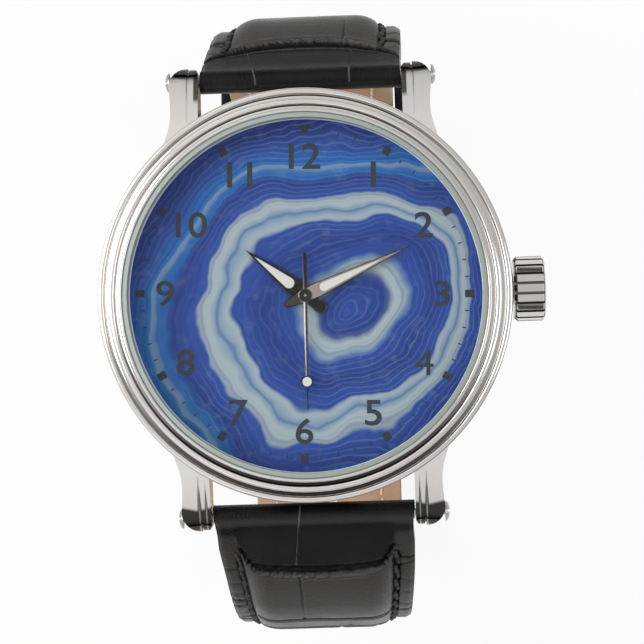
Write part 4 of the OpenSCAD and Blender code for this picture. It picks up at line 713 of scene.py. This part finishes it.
# The nodes that keep the solids' own meshes, by material
for mat, names in (
        (m_case, "case_middle"), (m_bezel, "bezel"), (m_gasket, "crystal_gasket"), (m_dial, "dial"),
        (m_back, "case_back"), (m_rubber, "case_back_gasket crown_gasket"), (m_crown, "crown"),
        (m_small, "crown_tube stem bridge_screws battery_clamp rotor sliding_pinion setting_lever "
                  "lug_bar_12 lug_bar_6 buckle_bar"),
        (m_brass, "fifth_wheel fourth_wheel third_wheel centre_wheel minute_wheel hour_wheel setting_wheel"),
        (m_resin, "movement_holder"), (m_plate, "main_plate"), (m_bridge, "train_bridge"),
        (m_cell, "battery quartz_can"), (m_copper, "coil"), (m_iron, "coil_core stator"),
        (m_board, "circuit_board"), (m_screw, "lug_screws"), (m_buckle, "buckle_frame buckle_tang")):
    for name in names.split():
        coat(nodes[name], mat)
        soften(name)


def crown_tops(node, lean):
    """Slightly crowned shading across the flat turned tops of a round node."""
    mesh = nodes[node].data
    normals = [tuple(n.vector) for n in mesh.corner_normals]
    tops = {}
    for poly in mesh.polygons:
        if poly.normal.z > 0.97:
            for k in poly.loop_indices:
                co = mesh.vertices[mesh.loops[k].vertex_index].co
                tops.setdefault(round(co.z * 1e5), []).append((k, hypot(co.x, co.y), co))
    for group in tops.values():
        inner, outer = min(g[1] for g in group), max(g[1] for g in group)
        if outer - inner < 0.0001:
            continue
        for k, r, co in group:
            a = radians(4 + (lean - 4) * (r - inner) / (outer - inner))
            normals[k] = (sin(a) * co.x / r, sin(a) * co.y / r, cos(a))
    mesh.normals_split_custom_set(normals)


crown_tops("bezel", 20.0)
for poly in coat(nodes["crystal"], m_crystal, m_bevel).data.polygons:
    if 0.2 < poly.normal.z < 0.98:
        poly.material_index = 1
soften("crystal", 20.0)


# Printed dial: hour squares, minute ticks and upright numbers, turned back so that the print stands upright
CORNERS = ((1, 1, 0), (-1, 1, 90), (-1, -1, 180), (1, -1, 270))
PRINT_TOP = DIAL_Z + 0.02
PRINT_X, PRINT_Y = -0.12, 0.2
NUMBER_R, NUMBER_H, NUMBER_WIDER = 13.36, 2.5, 1.13
NUMBER_SHIFT = {7: 0.25, 9: -0.22, 10: 0.55, 11: 0.36}


def turned(x, y, a):
    return x * cos(a) - y * sin(a), x * sin(a) + y * cos(a)


def plate_rows(outline, heights):
    return [[Vector((x, y, z)) * MM for x, y in outline] for z in heights]


def rounded_rect(w, h, r, steps=4):
    pts = []
    for kx, ky, a0 in CORNERS:
        for i in range(steps + 1):
            a = radians(a0 + 90 * i / steps)
            pts.append((kx * (w / 2 - r) + r * cos(a), ky * (h / 2 - r) + r * sin(a)))
    return pts


marks = {"hour_squares": [], "minute_ticks": []}
for i in range(60):
    if i % 5 == 0:
        kind, r, shape = "hour_squares", 16.0, rounded_rect(0.74, 0.86, 0.1)
    else:
        kind, r, shape = "minute_ticks", 15.85, rounded_rect(0.12, 0.4, 0.03, 2)
    outline = [turned(x, y + r, -radians(6 * i) - ROLL) for x, y in shape]
    marks[kind].append(plate_rows([(x + PRINT_X, y + PRINT_Y) for x, y in outline], (DIAL_Z, PRINT_TOP)))
for name, grids in marks.items():
    piece = coat(solid("dial_" + name, grids, False), m_print)
    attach(piece, "case")

for i in range(1, 13):
    curve = bpy.data.curves.new(f"number_{i}", "FONT")
    curve.body = str(i)
    curve.align_x = "CENTER"
    curve.align_y = "CENTER"
    curve.size = 3.42 * MM
    # A bolder 4 would close its counter
    curve.offset = (0.0 if i == 4 else 0.045) * MM
    curve.space_character = 0.98
    curve.extrude = 0.01 * MM
    curve.resolution_u = 8
    text = add(f"text_{i}", curve)
    bpy.context.view_layer.update()
    mesh = bpy.data.meshes.new_from_object(text.evaluated_get(bpy.context.evaluated_depsgraph_get()))
    bpy.data.objects.remove(text)
    co = np.array([v.co for v in mesh.vertices])
    mid = (co.min(0) + co.max(0)) / 2
    size = NUMBER_H * MM / (co.max(0) - co.min(0))[1]
    a = radians(90 - 30 * i)
    x, y = NUMBER_R * cos(a) + PRINT_X + NUMBER_SHIFT.get(i, 0.0), NUMBER_R * sin(a) + PRINT_Y
    mesh.transform(Matrix.Translation(Vector((0, 0, PRINT_TOP - 0.01)) * MM) @ Matrix.Rotation(-ROLL, 4, "Z")
                   @ Matrix.Translation(Vector((x, y, 0)) * MM)
                   @ Matrix.Diagonal((size * NUMBER_WIDER, size, 1.0, 1.0))
                   @ Matrix.Translation(-Vector((mid[0], mid[1], 0))))
    piece = clean(coat(add(f"dial_number_{i}", mesh), m_print))
    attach(piece, "case")


# Hands with ground edges, their lume, and the ridged seconds hand
def both_sides(pts):
    return pts + [(-x, y) for x, y in pts[-2:0:-1]]


def hand_outline(l, sides, tail):
    """Half widths at places along a hand: the leaf from its tip, then the tail, both mirrored."""
    pts = [(0, l)] + [(w, d) for d, w in sides] + [(w, -d) for d, w in tail]
    return both_sides(pts + [(0, -tail[-1][0] - 0.08)])


def lance(l, from_d, w, steps=18, power=0.96):
    """Places down the tapering side of a hand, from near its tip to its widest place."""
    return [(d, w * ((l - d) / (l - from_d)) ** power)
            for d in [l - (l - from_d) * (i / steps) ** 1.2 for i in range(1, steps + 1)]]


def lume_outline(a, b, w, grow=0.0):
    """A drop: round at its foot a, widest just past it, and pointed at its end b."""
    pts = [(0, a - grow)]
    for i in range(1, 9):
        t = radians(90 * i / 8)
        pts.append((w / 2 * sin(t) + grow, a + w / 2 * (1 - cos(t)) - grow * cos(t)))
    d0 = a + w / 2
    rest = (0.12, 0.25, 0.4, 0.55, 0.7, 0.82, 0.92, 0.97)
    pts += [(w / 2 * (1 - f) ** 0.86 + grow, d0 + (b - d0) * f) for f in rest]
    return both_sides(pts + [(0, b + 2 * grow)])


def inset(outline, d):
    """An outline moved inward along its own bisectors."""
    n = len(outline)
    pairs = zip(outline, outline[1:] + outline[:1])
    k = 1 if sum(p[0] * q[1] - q[0] * p[1] for p, q in pairs) > 0 else -1
    out = []
    for i in range(n):
        p, q, r = Vector(outline[i - 1]), Vector(outline[i]), Vector(outline[(i + 1) % n])
        e0, e1 = (q - p), (r - q)
        if e0.length < 1e-9 or e1.length < 1e-9:
            out.append(tuple(q))
            continue
        e0.normalize()
        e1.normalize()
        n0, n1 = Vector((-e0.y, e0.x)) * k, Vector((-e1.y, e1.x)) * k
        b = n0 + n1
        if b.length < 1e-6:
            b = n0.copy()
        b.normalize()
        reach = d / max(0.35, b.dot(n0))
        x = q.x + b.x * reach
        out.append((x if x * q.x >= 0 and abs(q.x) > 1e-9 else 0.12 * q.x, q.y + b.y * reach))
    return out


def plate_solid(tag, ring, z0, z1, bevel=0.0):
    rows = plate_rows(ring, (z0, z1 - bevel))
    if bevel:
        rows += plate_rows(inset(ring, bevel), (z1,))
    return solid(tag, [rows], False)


def turn_hand(piece, angle):
    piece.data.transform(Matrix.Rotation(-radians(angle), 4, "Z"))
    return piece


def hand_piece(name, outline, slot, bore_r, z, bevel, angle, mats):
    """A hand: a plate with ground edges, an opening and a bore. mats: its face, its edges, its tail."""
    body = plate_solid(name, outline, z, z + HAND_T, bevel)
    cut(body, [plate_solid("slot", slot, z - 1, z + 1), plate_solid("bore", circle(bore_r), z - 1, z + 1)])
    mesh = coat(body, *mats).data
    for poly in mesh.polygons:
        flat = poly.normal.z > 0.98
        poly.material_index = (2 if poly.center.y < -0.00055 else 0) if flat else 1
    mesh.set_sharp_from_angle(angle=radians(25))
    return turn_hand(body, angle)


def lathe(name, profile, mat, sides=96):
    """A round piece about the hand axis from an outline of radii and heights."""
    rows = [[Vector((r * x, r * y, z)) * MM for r, z in profile] for x, y in circle(1.0, sides)]
    piece = solid(name, [rows], around=True)
    piece.data.set_sharp_from_angle(angle=radians(35))
    return coat(piece, mat)


ring_co = [v.co / MM for v in nodes["dial_ring"].data.vertices]
ring_low, ring_high = min(v.z for v in ring_co), max(v.z for v in ring_co)
ring_foot = min(hypot(v.x, v.y) for v in ring_co) + 0.16
ring_top = min(hypot(v.x, v.y) for v in ring_co if v.z > ring_high - 0.01) + 0.02
low, high = ring_low + 0.01, ring_high - 0.01
out = max(hypot(v.x, v.y) for v in ring_co) - 0.01
wall = lathe("dial_ring_wall", [(ring_foot + 0.07, low), (out, low), (out, high),
                                (max(ring_top, ring_foot + 0.09), high), (ring_foot + 0.07, ring_low + 0.16)],
             m_wall, 192)
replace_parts(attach(wall, "case"), "dial_ring")
foot = lathe("dial_ring_foot", [(ring_foot, low), (ring_foot + 0.068, low),
                                (ring_foot + 0.068, ring_low + 0.15), (ring_foot, ring_low + 0.06)],
             m_ring, 192)
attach(foot, "case")

HOUR_Z = DIAL_Z + 0.35
MINUTE_Z = HOUR_Z + HAND_T + 0.22
SECOND_Z = MINUTE_Z + HAND_T + 0.22
# Steels for the polished hands; their dark and light tones are painted reflections: dark on the hour hand's
# face and the seconds hand's shaded side, light or dark on the ground edges
m_dark = steel("hand_dark", (0.045, 0.042, 0.04), 0.16, 0.04)
m_edge_dark = steel("hand_edge_dark", (0.07, 0.06, 0.055), 0.2, 0.04)
m_edge_light = steel("hand_edge_light", (0.22, 0.21, 0.2), 0.2, 0.04)


def tail_shade(t, tone):
    """Dark behind the hub."""
    x, y, _ = t.axes()
    a = radians(HAND_ANGLES["minute"])
    along = t.plus(t.times(x, sin(a)), t.times(y, cos(a)))
    return t.mix(t.span(along, -0.0007, -0.0005, 0.9, 0.0), tone, (0.06, 0.055, 0.052))


# The minute hand's taupe face is a painted reflection on its polished steel
m_taupe = steel("minute_hand_metal", (0.56, 0.47, 0.43), 0.2, 0.04, shade=tail_shade)
hour = hand_piece("hour_hand_polished",
                  hand_outline(7.45, lance(7.45, 1.15, 0.97) + [(0.6, 0.86), (0.0, 0.68)],
                               [(0.6, 0.52), (1.2, 0.55), (1.75, 0.62), (2.05, 0.6), (2.24, 0.48),
                                (2.36, 0.28)]),
                  lume_outline(1.5, 6.25, 1.06, 0.012), 0.67, HOUR_Z, 0.09, HAND_ANGLES["hour"],
                  (m_dark, m_edge_light, m_dark))
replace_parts(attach(hour, "hours"), "hour_hand")
minute = hand_piece("minute_hand_polished",
                    hand_outline(11.4, lance(11.4, 1.3, 0.73) + [(0.65, 0.7), (0.0, 0.66)],
                                 [(0.6, 0.6), (1.2, 0.5), (1.8, 0.38), (2.1, 0.27), (2.26, 0.14)]),
                    lume_outline(1.55, 8.35, 0.9, 0.012), 0.42, MINUTE_Z, 0.08, HAND_ANGLES["minute"],
                    (m_taupe, m_edge_dark, m_dark))
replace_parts(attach(minute, "minutes"), "minute_hand")
for name, outline, z, angle, body, node in (
        ("hour_lume_fill", lume_outline(1.5, 6.25, 1.06), HOUR_Z, HAND_ANGLES["hour"], "hours", "hour_lume"),
        ("minute_lume_fill", lume_outline(1.55, 8.35, 0.9), MINUTE_Z, HAND_ANGLES["minute"], "minutes",
         "minute_lume")):
    piece = coat(turn_hand(plate_solid(name, outline, z, z + HAND_T - 0.015, 0.02), angle), m_lume)
    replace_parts(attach(piece, body), node)


def ridged_bar(name, stations, z, mats):
    """A polished bar with a ridged top: one side of the ridge painted lit with the second material, the other
    painted dark with the first. Stations: place, half width, ridge.
    """
    rows = [[Vector((x, d, z + HAND_T * h)) * MM
             for x, h in ((-w, 0.0), (-w, 0.5), (ridge * w, 1.0), (w, 0.5), (w, 0.0))]
            for d, w, ridge in stations]
    piece = coat(mesh_piece(name, *closed_grid(rows), False), *mats)
    lit = [1 if j in (2, 3) else 0 for _ in rows[1:] for j in range(5)]
    piece.data.polygons.foreach_set("material_index", lit + [0, 0])
    return clean(piece)


DOT_D, DOT_R = 8.35, 0.55
# Lighter steel: the painted lit side of the seconds hand's ridge, and the hand's rim and pipe
m_polished = steel("hand_polished", (0.28, 0.268, 0.255), 0.16, 0.04)
bar = ridged_bar("second_hand_ridged",
                 [(-4.12, 0.12, 0.6), (-4.06, 0.18, 0.6), (-3.9, 0.2, 0.55), (-0.9, 0.185, 0.5),
                  (-0.5, 0.19, 0.3), (0.5, 0.19, 0.2), (4.0, 0.16, 0.2), (DOT_D - DOT_R + 0.03, 0.13, 0.15),
                  (DOT_D, 0.12, 0.0), (DOT_D + DOT_R - 0.03, 0.085, 0.0), (10.9, 0.06, 0.0),
                  (11.15, 0.03, 0.0)], SECOND_Z,
                 (m_dark, m_polished))
cut(bar, [plate_solid("hub_room", circle(0.5), SECOND_Z - 1, SECOND_Z + 1),
          plate_solid("dot_room", [(x, y + DOT_D) for x, y in circle(0.5, 48)], SECOND_Z - 1, SECOND_Z + 1)])
bar.data.set_sharp_from_angle(angle=radians(20))
turn_hand(bar, HAND_ANGLES["second"])
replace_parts(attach(bar, "seconds"), "second_hand")
low, top = SECOND_Z, SECOND_Z + HAND_T
hub = lathe("second_hand_hub", [(0.16, low - 0.14), (0.6, low - 0.14), (0.6, top + 0.03), (0.54, top + 0.07),
                                (0.2, top + 0.05), (0.16, top + 0.05)], m_black)
rim = lathe("second_hand_rim", [(0.6, low - 0.05), (0.66, low - 0.05), (0.67, top - 0.02), (0.65, top + 0.04),
                                (0.615, top + 0.05), (0.6, top + 0.03)], m_polished)
cap = lathe("second_hand_pipe", [(0.02, top), (0.155, top), (0.165, top + 0.08), (0.15, top + 0.1),
                                 (0.09, top + 0.1), (0.075, top + 0.04), (0.02, top + 0.04)], m_polished, 48)
ring = lathe("second_hand_dot_ring", [(0.465, low), (DOT_R, low), (DOT_R, top - 0.04), (DOT_R - 0.03, top),
                                      (0.465, top)], m_dark, 64)
dot = lathe("second_hand_dot", [(0.0, low + 0.01), (0.45, low + 0.01), (0.455, top - 0.03),
                                (0.44, top - 0.012), (0.0, top - 0.005)], m_lume, 64)
for piece in (ring, dot):
    piece.data.transform(Matrix.Translation(Vector((0, DOT_D, 0)) * MM))
    turn_hand(piece, HAND_ANGLES["second"])
for piece in (hub, rim, cap, ring):
    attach(piece, "seconds")
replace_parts(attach(dot, "seconds"), "second_lume")


# Strap leather
def across_points(half, w):
    """Places across the outer side, closer together at the stitching, the lines and the ends."""
    inner = w - STITCH_IN
    fr = [1, 0.985, 0.95, 0.9, 0.84, 0.76, 0.68, 0.58, 0.46, 0.34, 0.22, 0.1]
    right = [inner + STITCH_IN * f for f in fr] + [inner - 0.7 * k / 5 for k in range(0, 6)]
    edge = right[-1]
    count = 40
    mid = [edge * (1 - 2 * (i + 1) / (count + 1)) for i in range(count)]
    lines = [a + d for a in LINES["6" if half.mirrored else "12"][0] if abs(a) < edge - 0.4
             for d in [0.08 * k for k in range(-16, 4)]]
    return sorted(right + mid + lines + [-u for u in right], reverse=True)


def leather_piece(name, half):
    step = 0.3
    fine = 0.085
    marks = [NOSE_R * (1 - cos(radians(a))) for a in range(0, 90, 9)]
    stop = half.length - max(half.end_r, half.tip_l)
    s = NOSE_R
    while s < stop - 0.05:
        marks.append(s)
        s += fine if 2.0 < s < 8.0 else step
    marks.append(stop)
    if half.end_r:
        marks += [half.length - half.end_r * (1 - cos(radians(a))) for a in range(81, -1, -9)]
    else:
        marks += [half.length - half.tip_l * (1 - sin(radians(a))) for a in range(6, 90, 4)]
    rows, worn_and_lit = [], []
    for s in marks:
        w = max(half_width(half, s), 0.02)
        if s < NOSE_R:
            rise = sqrt(max(0.0, NOSE_R ** 2 - (NOSE_R - s) ** 2))
            low, flat = NOSE_R - rise, NOSE_R + rise
        elif half.end_r and s > half.length - half.end_r:
            rise = sqrt(max(0.0, half.end_r ** 2 - (half.end_r - (half.length - s)) ** 2))
            low, flat = half.end_r - rise, half.end_r + rise
        else:
            low, flat = LINING_T * smooth((s - LINING_FROM + 0.15) / 0.15), None
        base = [u * w / max(w, 6.0) if w < 6.0 else u for u in across_points(half, max(w, 6.0))]
        ring, pale = [], []
        for u in base:
            top, wear_and_sheen = surface(half, s, u)
            if flat is not None:
                top = flat
            ring.append((u, max(top, low + 0.001)))
            pale.append(wear_and_sheen)
        full = ring[0][1] - low
        bulge = 0.6 * min(0.05, full * 0.05)
        left = [(-w - bulge * e, low + full * f) for e, f in [(1, 0.75), (1.6, 0.5), (1, 0.25)]]
        under = [(-w + 2 * w * f, low) for f in (0, 0.02, 0.12, 0.3, 0.5, 0.7, 0.88, 0.98, 1)]
        right = [(w + bulge * e, low + full * f) for e, f in [(1, 0.25), (1.6, 0.5), (1, 0.75)]]
        pts = ring + left + under + right
        rows.append([half.place(s, u, tt) for u, tt in pts])
        worn_and_lit += pale + [0.1] * (len(pts) - len(pale))
    piece = mesh_piece(name, *closed_grid(rows))
    # A point attribute that paints the strap's colour: wear, painted sheen and highlights, and painted shade
    wear_and_sheen = piece.data.attributes.new("wear_and_sheen", "FLOAT", "POINT")
    wear_and_sheen.data.foreach_set("value", worn_and_lit)
    return clean(piece, 2e-6)


def hole_prisms(half):
    r = HOLE_W / 2
    outline = [(x, y + (HOLE_L / 2 - r) * (1 if y >= 0 else -1)) for x, y in circle(r, 32)]
    places = [used_hole_s + (i - HOLE_IN_USE) * HOLE_PITCH for i in range(HOLES)]
    return [prism("hole", outline, half.place(s0, 0, 0), *half.axes(s0), (-1.0, 3.0)) for s0 in places]


def notch_prism():
    """Room for the tang at the buckle's bar."""
    w, l = TANG_W / 2 + 0.3, BUCKLE_T / 2 + 1.1
    mid = Vector((0, BUCKLE_Y, LOOP_FLOOR_Z - BUCKLE_T / 2)) * MM
    return prism("notch", [(-w, -l), (w, -l), (w, l), (-w, l)], mid, Vector((0, 1, 0)), Vector((0, 0, 1)),
                 (-2.0, 2.0))


leather_12 = leather_piece("strap_12_scaled", half_12)
cut(leather_12, [rod("bore", BAR_R + HINGE_GAP, 24, BAR_Y, BAR_Z),
                 rod("bore", BUCKLE_BAR_D / 2 + HINGE_GAP, 26, BUCKLE_Y, LOOP_FLOOR_Z - BUCKLE_T / 2),
                 notch_prism()])
leather_6 = leather_piece("strap_6_scaled", half_6)
cut(leather_6, [rod("bore", BAR_R + HINGE_GAP, 24, -BAR_Y, BAR_Z)] + hole_prisms(half_6))
for piece, body, node in ((leather_12, "strap_12", "strap_12_leather"),
                          (leather_6, "strap_6", "strap_6_leather")):
    coat(piece, m_leather)
    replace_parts(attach(piece, body), node)


def lining_piece(name, half, stop):
    stop -= half.tip_l
    count = int((stop - LINING_FROM) / (0.7))
    marks = [LINING_FROM + (stop - LINING_FROM) * i / count for i in range(count + 1)]
    if half.tip_l:
        marks += [half.length - half.tip_l * (1 - sin(radians(a))) for a in range(6, 90, 4)]
    rows = []
    for s in marks:
        w = max(half_width(half, s), 0.02) - 0.04
        ease = min(1.0, (s - LINING_FROM) / 0.5 + 0.35)
        r = min(0.2, w / 3)
        line = w + 0.04 - LINING_STITCH_IN
        low = [(w, LINING_T - 0.012)]
        low += [(w - r + r * sin(radians(a)), r - r * cos(radians(a))) for a in (90, 60, 30, 0)]
        if line > 1.5:
            low += [(line + d, 0.07 * bump(d, 0.45)) for d in (0.4, 0.2, 0.0, -0.2, -0.4)]
            low += [((line - 0.6) * f, 0.0) for f in (1, 0.6, 0.2)]
        else:
            low += [(w * f * 0.5, 0.0) for f in (1, 0.9, 0.8, 0.7, 0.6, 0.5, 0.3, 0.1)]
        pts = low + [(-u, v) for u, v in reversed(low)]
        rows.append([half.place(s, u, tt * ease if tt < 0.5 else tt) for u, tt in pts])
    return solid(name, [rows], dist=1e-6)


lining_12 = lining_piece("strap_12_lining_sewn", half_12, half_12.length - BUCKLE_T - 2.4)
cut(lining_12, [notch_prism()])
lining_6 = lining_piece("strap_6_lining_sewn", half_6, half_6.length)
cut(lining_6, hole_prisms(half_6))
for piece, body, node in ((lining_12, "strap_12", "strap_12_lining"),
                          (lining_6, "strap_6", "strap_6_lining")):
    coat(piece, m_lining)
    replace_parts(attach(piece, body), node)


def stitches(name, half, first, last, pitch, length, r, inset_by, level, rise, shift, mat):
    """Rows of twisted thread: each stitch comes out of the leather, lies on it and goes back in."""
    sides, rings = 8, 9
    grids = []
    for side in (-1, 1):
        for i in range(int((last - first) / pitch)):
            rows = []
            for k in range(rings):
                f = k / (rings - 1)
                s = first + pitch * (i + 0.5) + (f - 0.5) * length
                u = side * (half_width(half, s) - inset_by) + 0.16 * (f - 0.5) + shift * (1 if i % 2 else -1)
                lift = rise * sin(pi * f) ** 0.5 if 0 < f < 1 else 0.0
                mid = half.place(s, u, level(s, u) + lift)
                along, up = half.axes(s)
                out = (up - along * 0.35 * cos(pi * f)).normalized()
                thick = r * (0.75 if k in (0, rings - 1) else 1.0) * MM
                row = []
                for j in range(sides):
                    a = 2 * pi * j / sides
                    twisted = thick * (1 + 0.16 * cos(2 * a + 9.0 * f))
                    row.append(mid + (Vector((cos(a), 0, 0)) + out * sin(a)) * twisted)
                rows.append(row)
            grids.append(rows)
    return coat(solid(name, grids), mat)


for key, half, body in (("12", half_12, "strap_12"), ("6", half_6, "strap_6")):
    last = half.length - (5.5 if half.end_r else 8.5)
    outer = stitches(f"strap_{key}_stitches", half, 4.5, last, 0.97, 0.98, 0.29, STITCH_IN,
                     lambda s, u, half=half: surface(half, s, u)[0] - 0.02, 0.22, 0.09, m_thread)
    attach(outer, body)
    inner = stitches(f"strap_{key}_lining_stitches", half, 6.6, last, 1.95, 1.6, 0.15, LINING_STITCH_IN,
                     lambda s, u: 0.1, -0.12, 0.0, m_cream)
    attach(inner, body)


# Keepers: bands of leather with turned, rounded edges
def keeper_piece(name, s0, gap):
    along, up = half_12.axes(s0)
    mid = half_12.place(s0, 0, 0)
    in_w = END_W + 2 * min(gap, 0.15) + 0.2
    slack = 0.2 * smooth((gap - LEATHER_GAP) / 0.2)
    in_t = BUCKLE_T + LEATHER_GAP + TAIL_T + 2 * gap + slack
    path = []
    for kx, ky, a0 in CORNERS:
        cx, cy = kx * in_w / 2, ky * in_t / 2
        path += [(cx, cy, radians(a0 + 90 * i / 8)) for i in range(9)]
        nx, ny = {0: (-1, 0), 90: (0, -1), 180: (1, 0), 270: (0, 1)}[a0]
        count = 12 if nx else 5
        for i in range(1, count):
            path.append((cx + nx * in_w * i / count, cy + ny * in_t * i / count, radians(a0 + 90)))
    h, e, top = KEEPER_L / 2, 0.28, KEEPER_T - 0.06
    section = [(f * (h - e), KEEPER_T - 0.06 * f * f) for f in (-1, -0.5, 0, 0.5, 1)]
    section += [(h - e + e * cos(radians(a)), top - e + e * sin(radians(a))) for a in (60, 30, 0)]
    section += [(h, e), (h - 0.1, 0.0), (0, 0.0), (-h + 0.1, 0.0), (-h, e)]
    section += [(-h + e + e * cos(radians(a)), top - e + e * sin(radians(a))) for a in (180, 150, 120)]
    rows = []
    for cx, cy, a in path:
        low = cy + in_t / 2 - gap - slack
        rows.append([mid + (Vector((cx + d * cos(a), 0, 0)) + up * (low + d * sin(a)) + along * b) * MM
                     for b, d in section])
    piece = solid(name, [rows], around=True)
    piece.data.set_sharp_from_angle(angle=radians(45))
    return coat(piece, m_leather)


fixed_s = half_12.length - BUCKLE_T / 2 + BUCKLE_Y - 4.2
slide_s = half_12.flank_l - KEEPER_L / 2 - 1.2
for name, s0, gap, body, node in (("fixed_keeper_band", fixed_s, LEATHER_GAP, "strap_12", "fixed_keeper"),
                                  ("sliding_keeper_band", slide_s, 0.35, "keeper", "sliding_keeper")):
    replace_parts(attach(keeper_piece(name, s0, gap), body), node)


# Floor: white, and brighter still to the eye, in reflections and through the crystal
FLOOR_HALF = 1.2
floor = mesh_piece("studio_floor", [(FLOOR_HALF * kx, FLOOR_HALF * ky, cad_low[2]) for kx, ky, a0 in CORNERS],
                   [(0, 1, 2, 3)], False)
m_floor = bpy.data.materials.new("floor_white")
m_floor.use_nodes = True
m_floor.node_tree.nodes.clear()
t = Tree(m_floor)
ray = t.node("LightPath").outputs
seen = t.most(t.most(ray["Is Camera Ray"], ray["Is Glossy Ray"]), ray["Is Transmission Ray"])
diffuse = t.node("BsdfDiffuse", {"Color": (0.86, 0.86, 0.86)})
glow = t.node("Emission", {"Strength": 1.0})
blend = t.node("MixShader", {0: t.times(seen, 0.86), 1: diffuse.outputs[0], 2: glow.outputs[0]})
t.node("OutputMaterial", {"Surface": blend.outputs[0]})
coat(floor, m_floor)
floor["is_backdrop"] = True

# World: white to just over the horizon and a broad pale ceiling; between them a band that is dark before
# and behind the watch and pale at its sides
world = bpy.data.worlds.new("studio")
scene.world = world
world.use_nodes = True
world.node_tree.nodes.clear()
t = Tree(world, "Generated")
x, _, z = t.axes()
rise = t.plus(t.times(z, 0.5), 0.5)
over = t.plus(t.times(x, 0.5), 0.5)
open_sky = t.ramp(rise, [(0.0, 1.0), (0.565, 1.0), (0.77, 0.66), (0.9, 0.80), (1.0, 0.72)])
in_band = t.ramp(rise, [(0.0, 0.0), (0.57, 0.0), (0.60, 1.0), (0.70, 1.0), (0.765, 0.0), (1.0, 0.0)])
band = t.ramp(over, [(0.0, 1.1), (0.14, 1.0), (0.27, 0.05), (0.73, 0.05), (0.86, 0.5), (1.0, 0.62)])
left = t.ramp(over, [(0.0, 1.0), (0.25, 0.9), (0.42, 0.55), (0.48, 0.0)])
high = t.ramp(rise, [(0.0, 0.0), (0.7, 0.0), (0.8, 0.45), (1.0, 0.45)])
lift = t.plus(t.times(left, high), 1.0)
sky = t.node("VectorMath", {0: t.mix(in_band, open_sky, band), "Scale": lift}, operation="SCALE")
back = t.node("Background", {"Color": sky.outputs["Vector"], "Strength": 1.0})
t.node("OutputWorld", {"Surface": back.outputs[0]})


def softbox(name, at, size, power):
    """A lamp that looks at the middle of the watch."""
    data = bpy.data.lights.new(name, "AREA")
    data.shape = "RECTANGLE"
    data.size, data.size_y = size
    data.energy = power
    lamp = add(name, data)
    lamp.location = at
    lamp.rotation_euler = (-Vector(at)).to_track_quat("-Z", "Y").to_euler()


softbox("key_left", (-0.42, 0.10, 0.42), (0.35, 0.5), 1.7)
softbox("fill_right", (0.5, -0.05, 0.35), (0.3, 0.5), 0.6)

# Camera at the photograph's viewing angle
CAM_AT = Vector((9.2, -5.6, 238.0)) * MM
off = Matrix.Rotation(-ROLL, 3, "Z") @ Vector((1.68, -2.60, 0.0))
aim = Vector((off.x, off.y, 8.3)) * MM
camera_data = bpy.data.cameras.new("camera")
camera_data.sensor_width = 36.0
camera_data.lens = 134.1
camera_data.clip_start = 0.01
camera_data.clip_end = 10.0
camera = add("camera", camera_data)
look = (aim - CAM_AT).normalized()
up = Vector((sin(ROLL), cos(ROLL), 0.0))
right = look.cross(up).normalized()
up = right.cross(look).normalized()
camera.matrix_world = Matrix.Translation(CAM_AT) @ Matrix((right, up, -look)).transposed().to_4x4()
scene.camera = camera
scene.view_settings.view_transform = "Standard"

low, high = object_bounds()
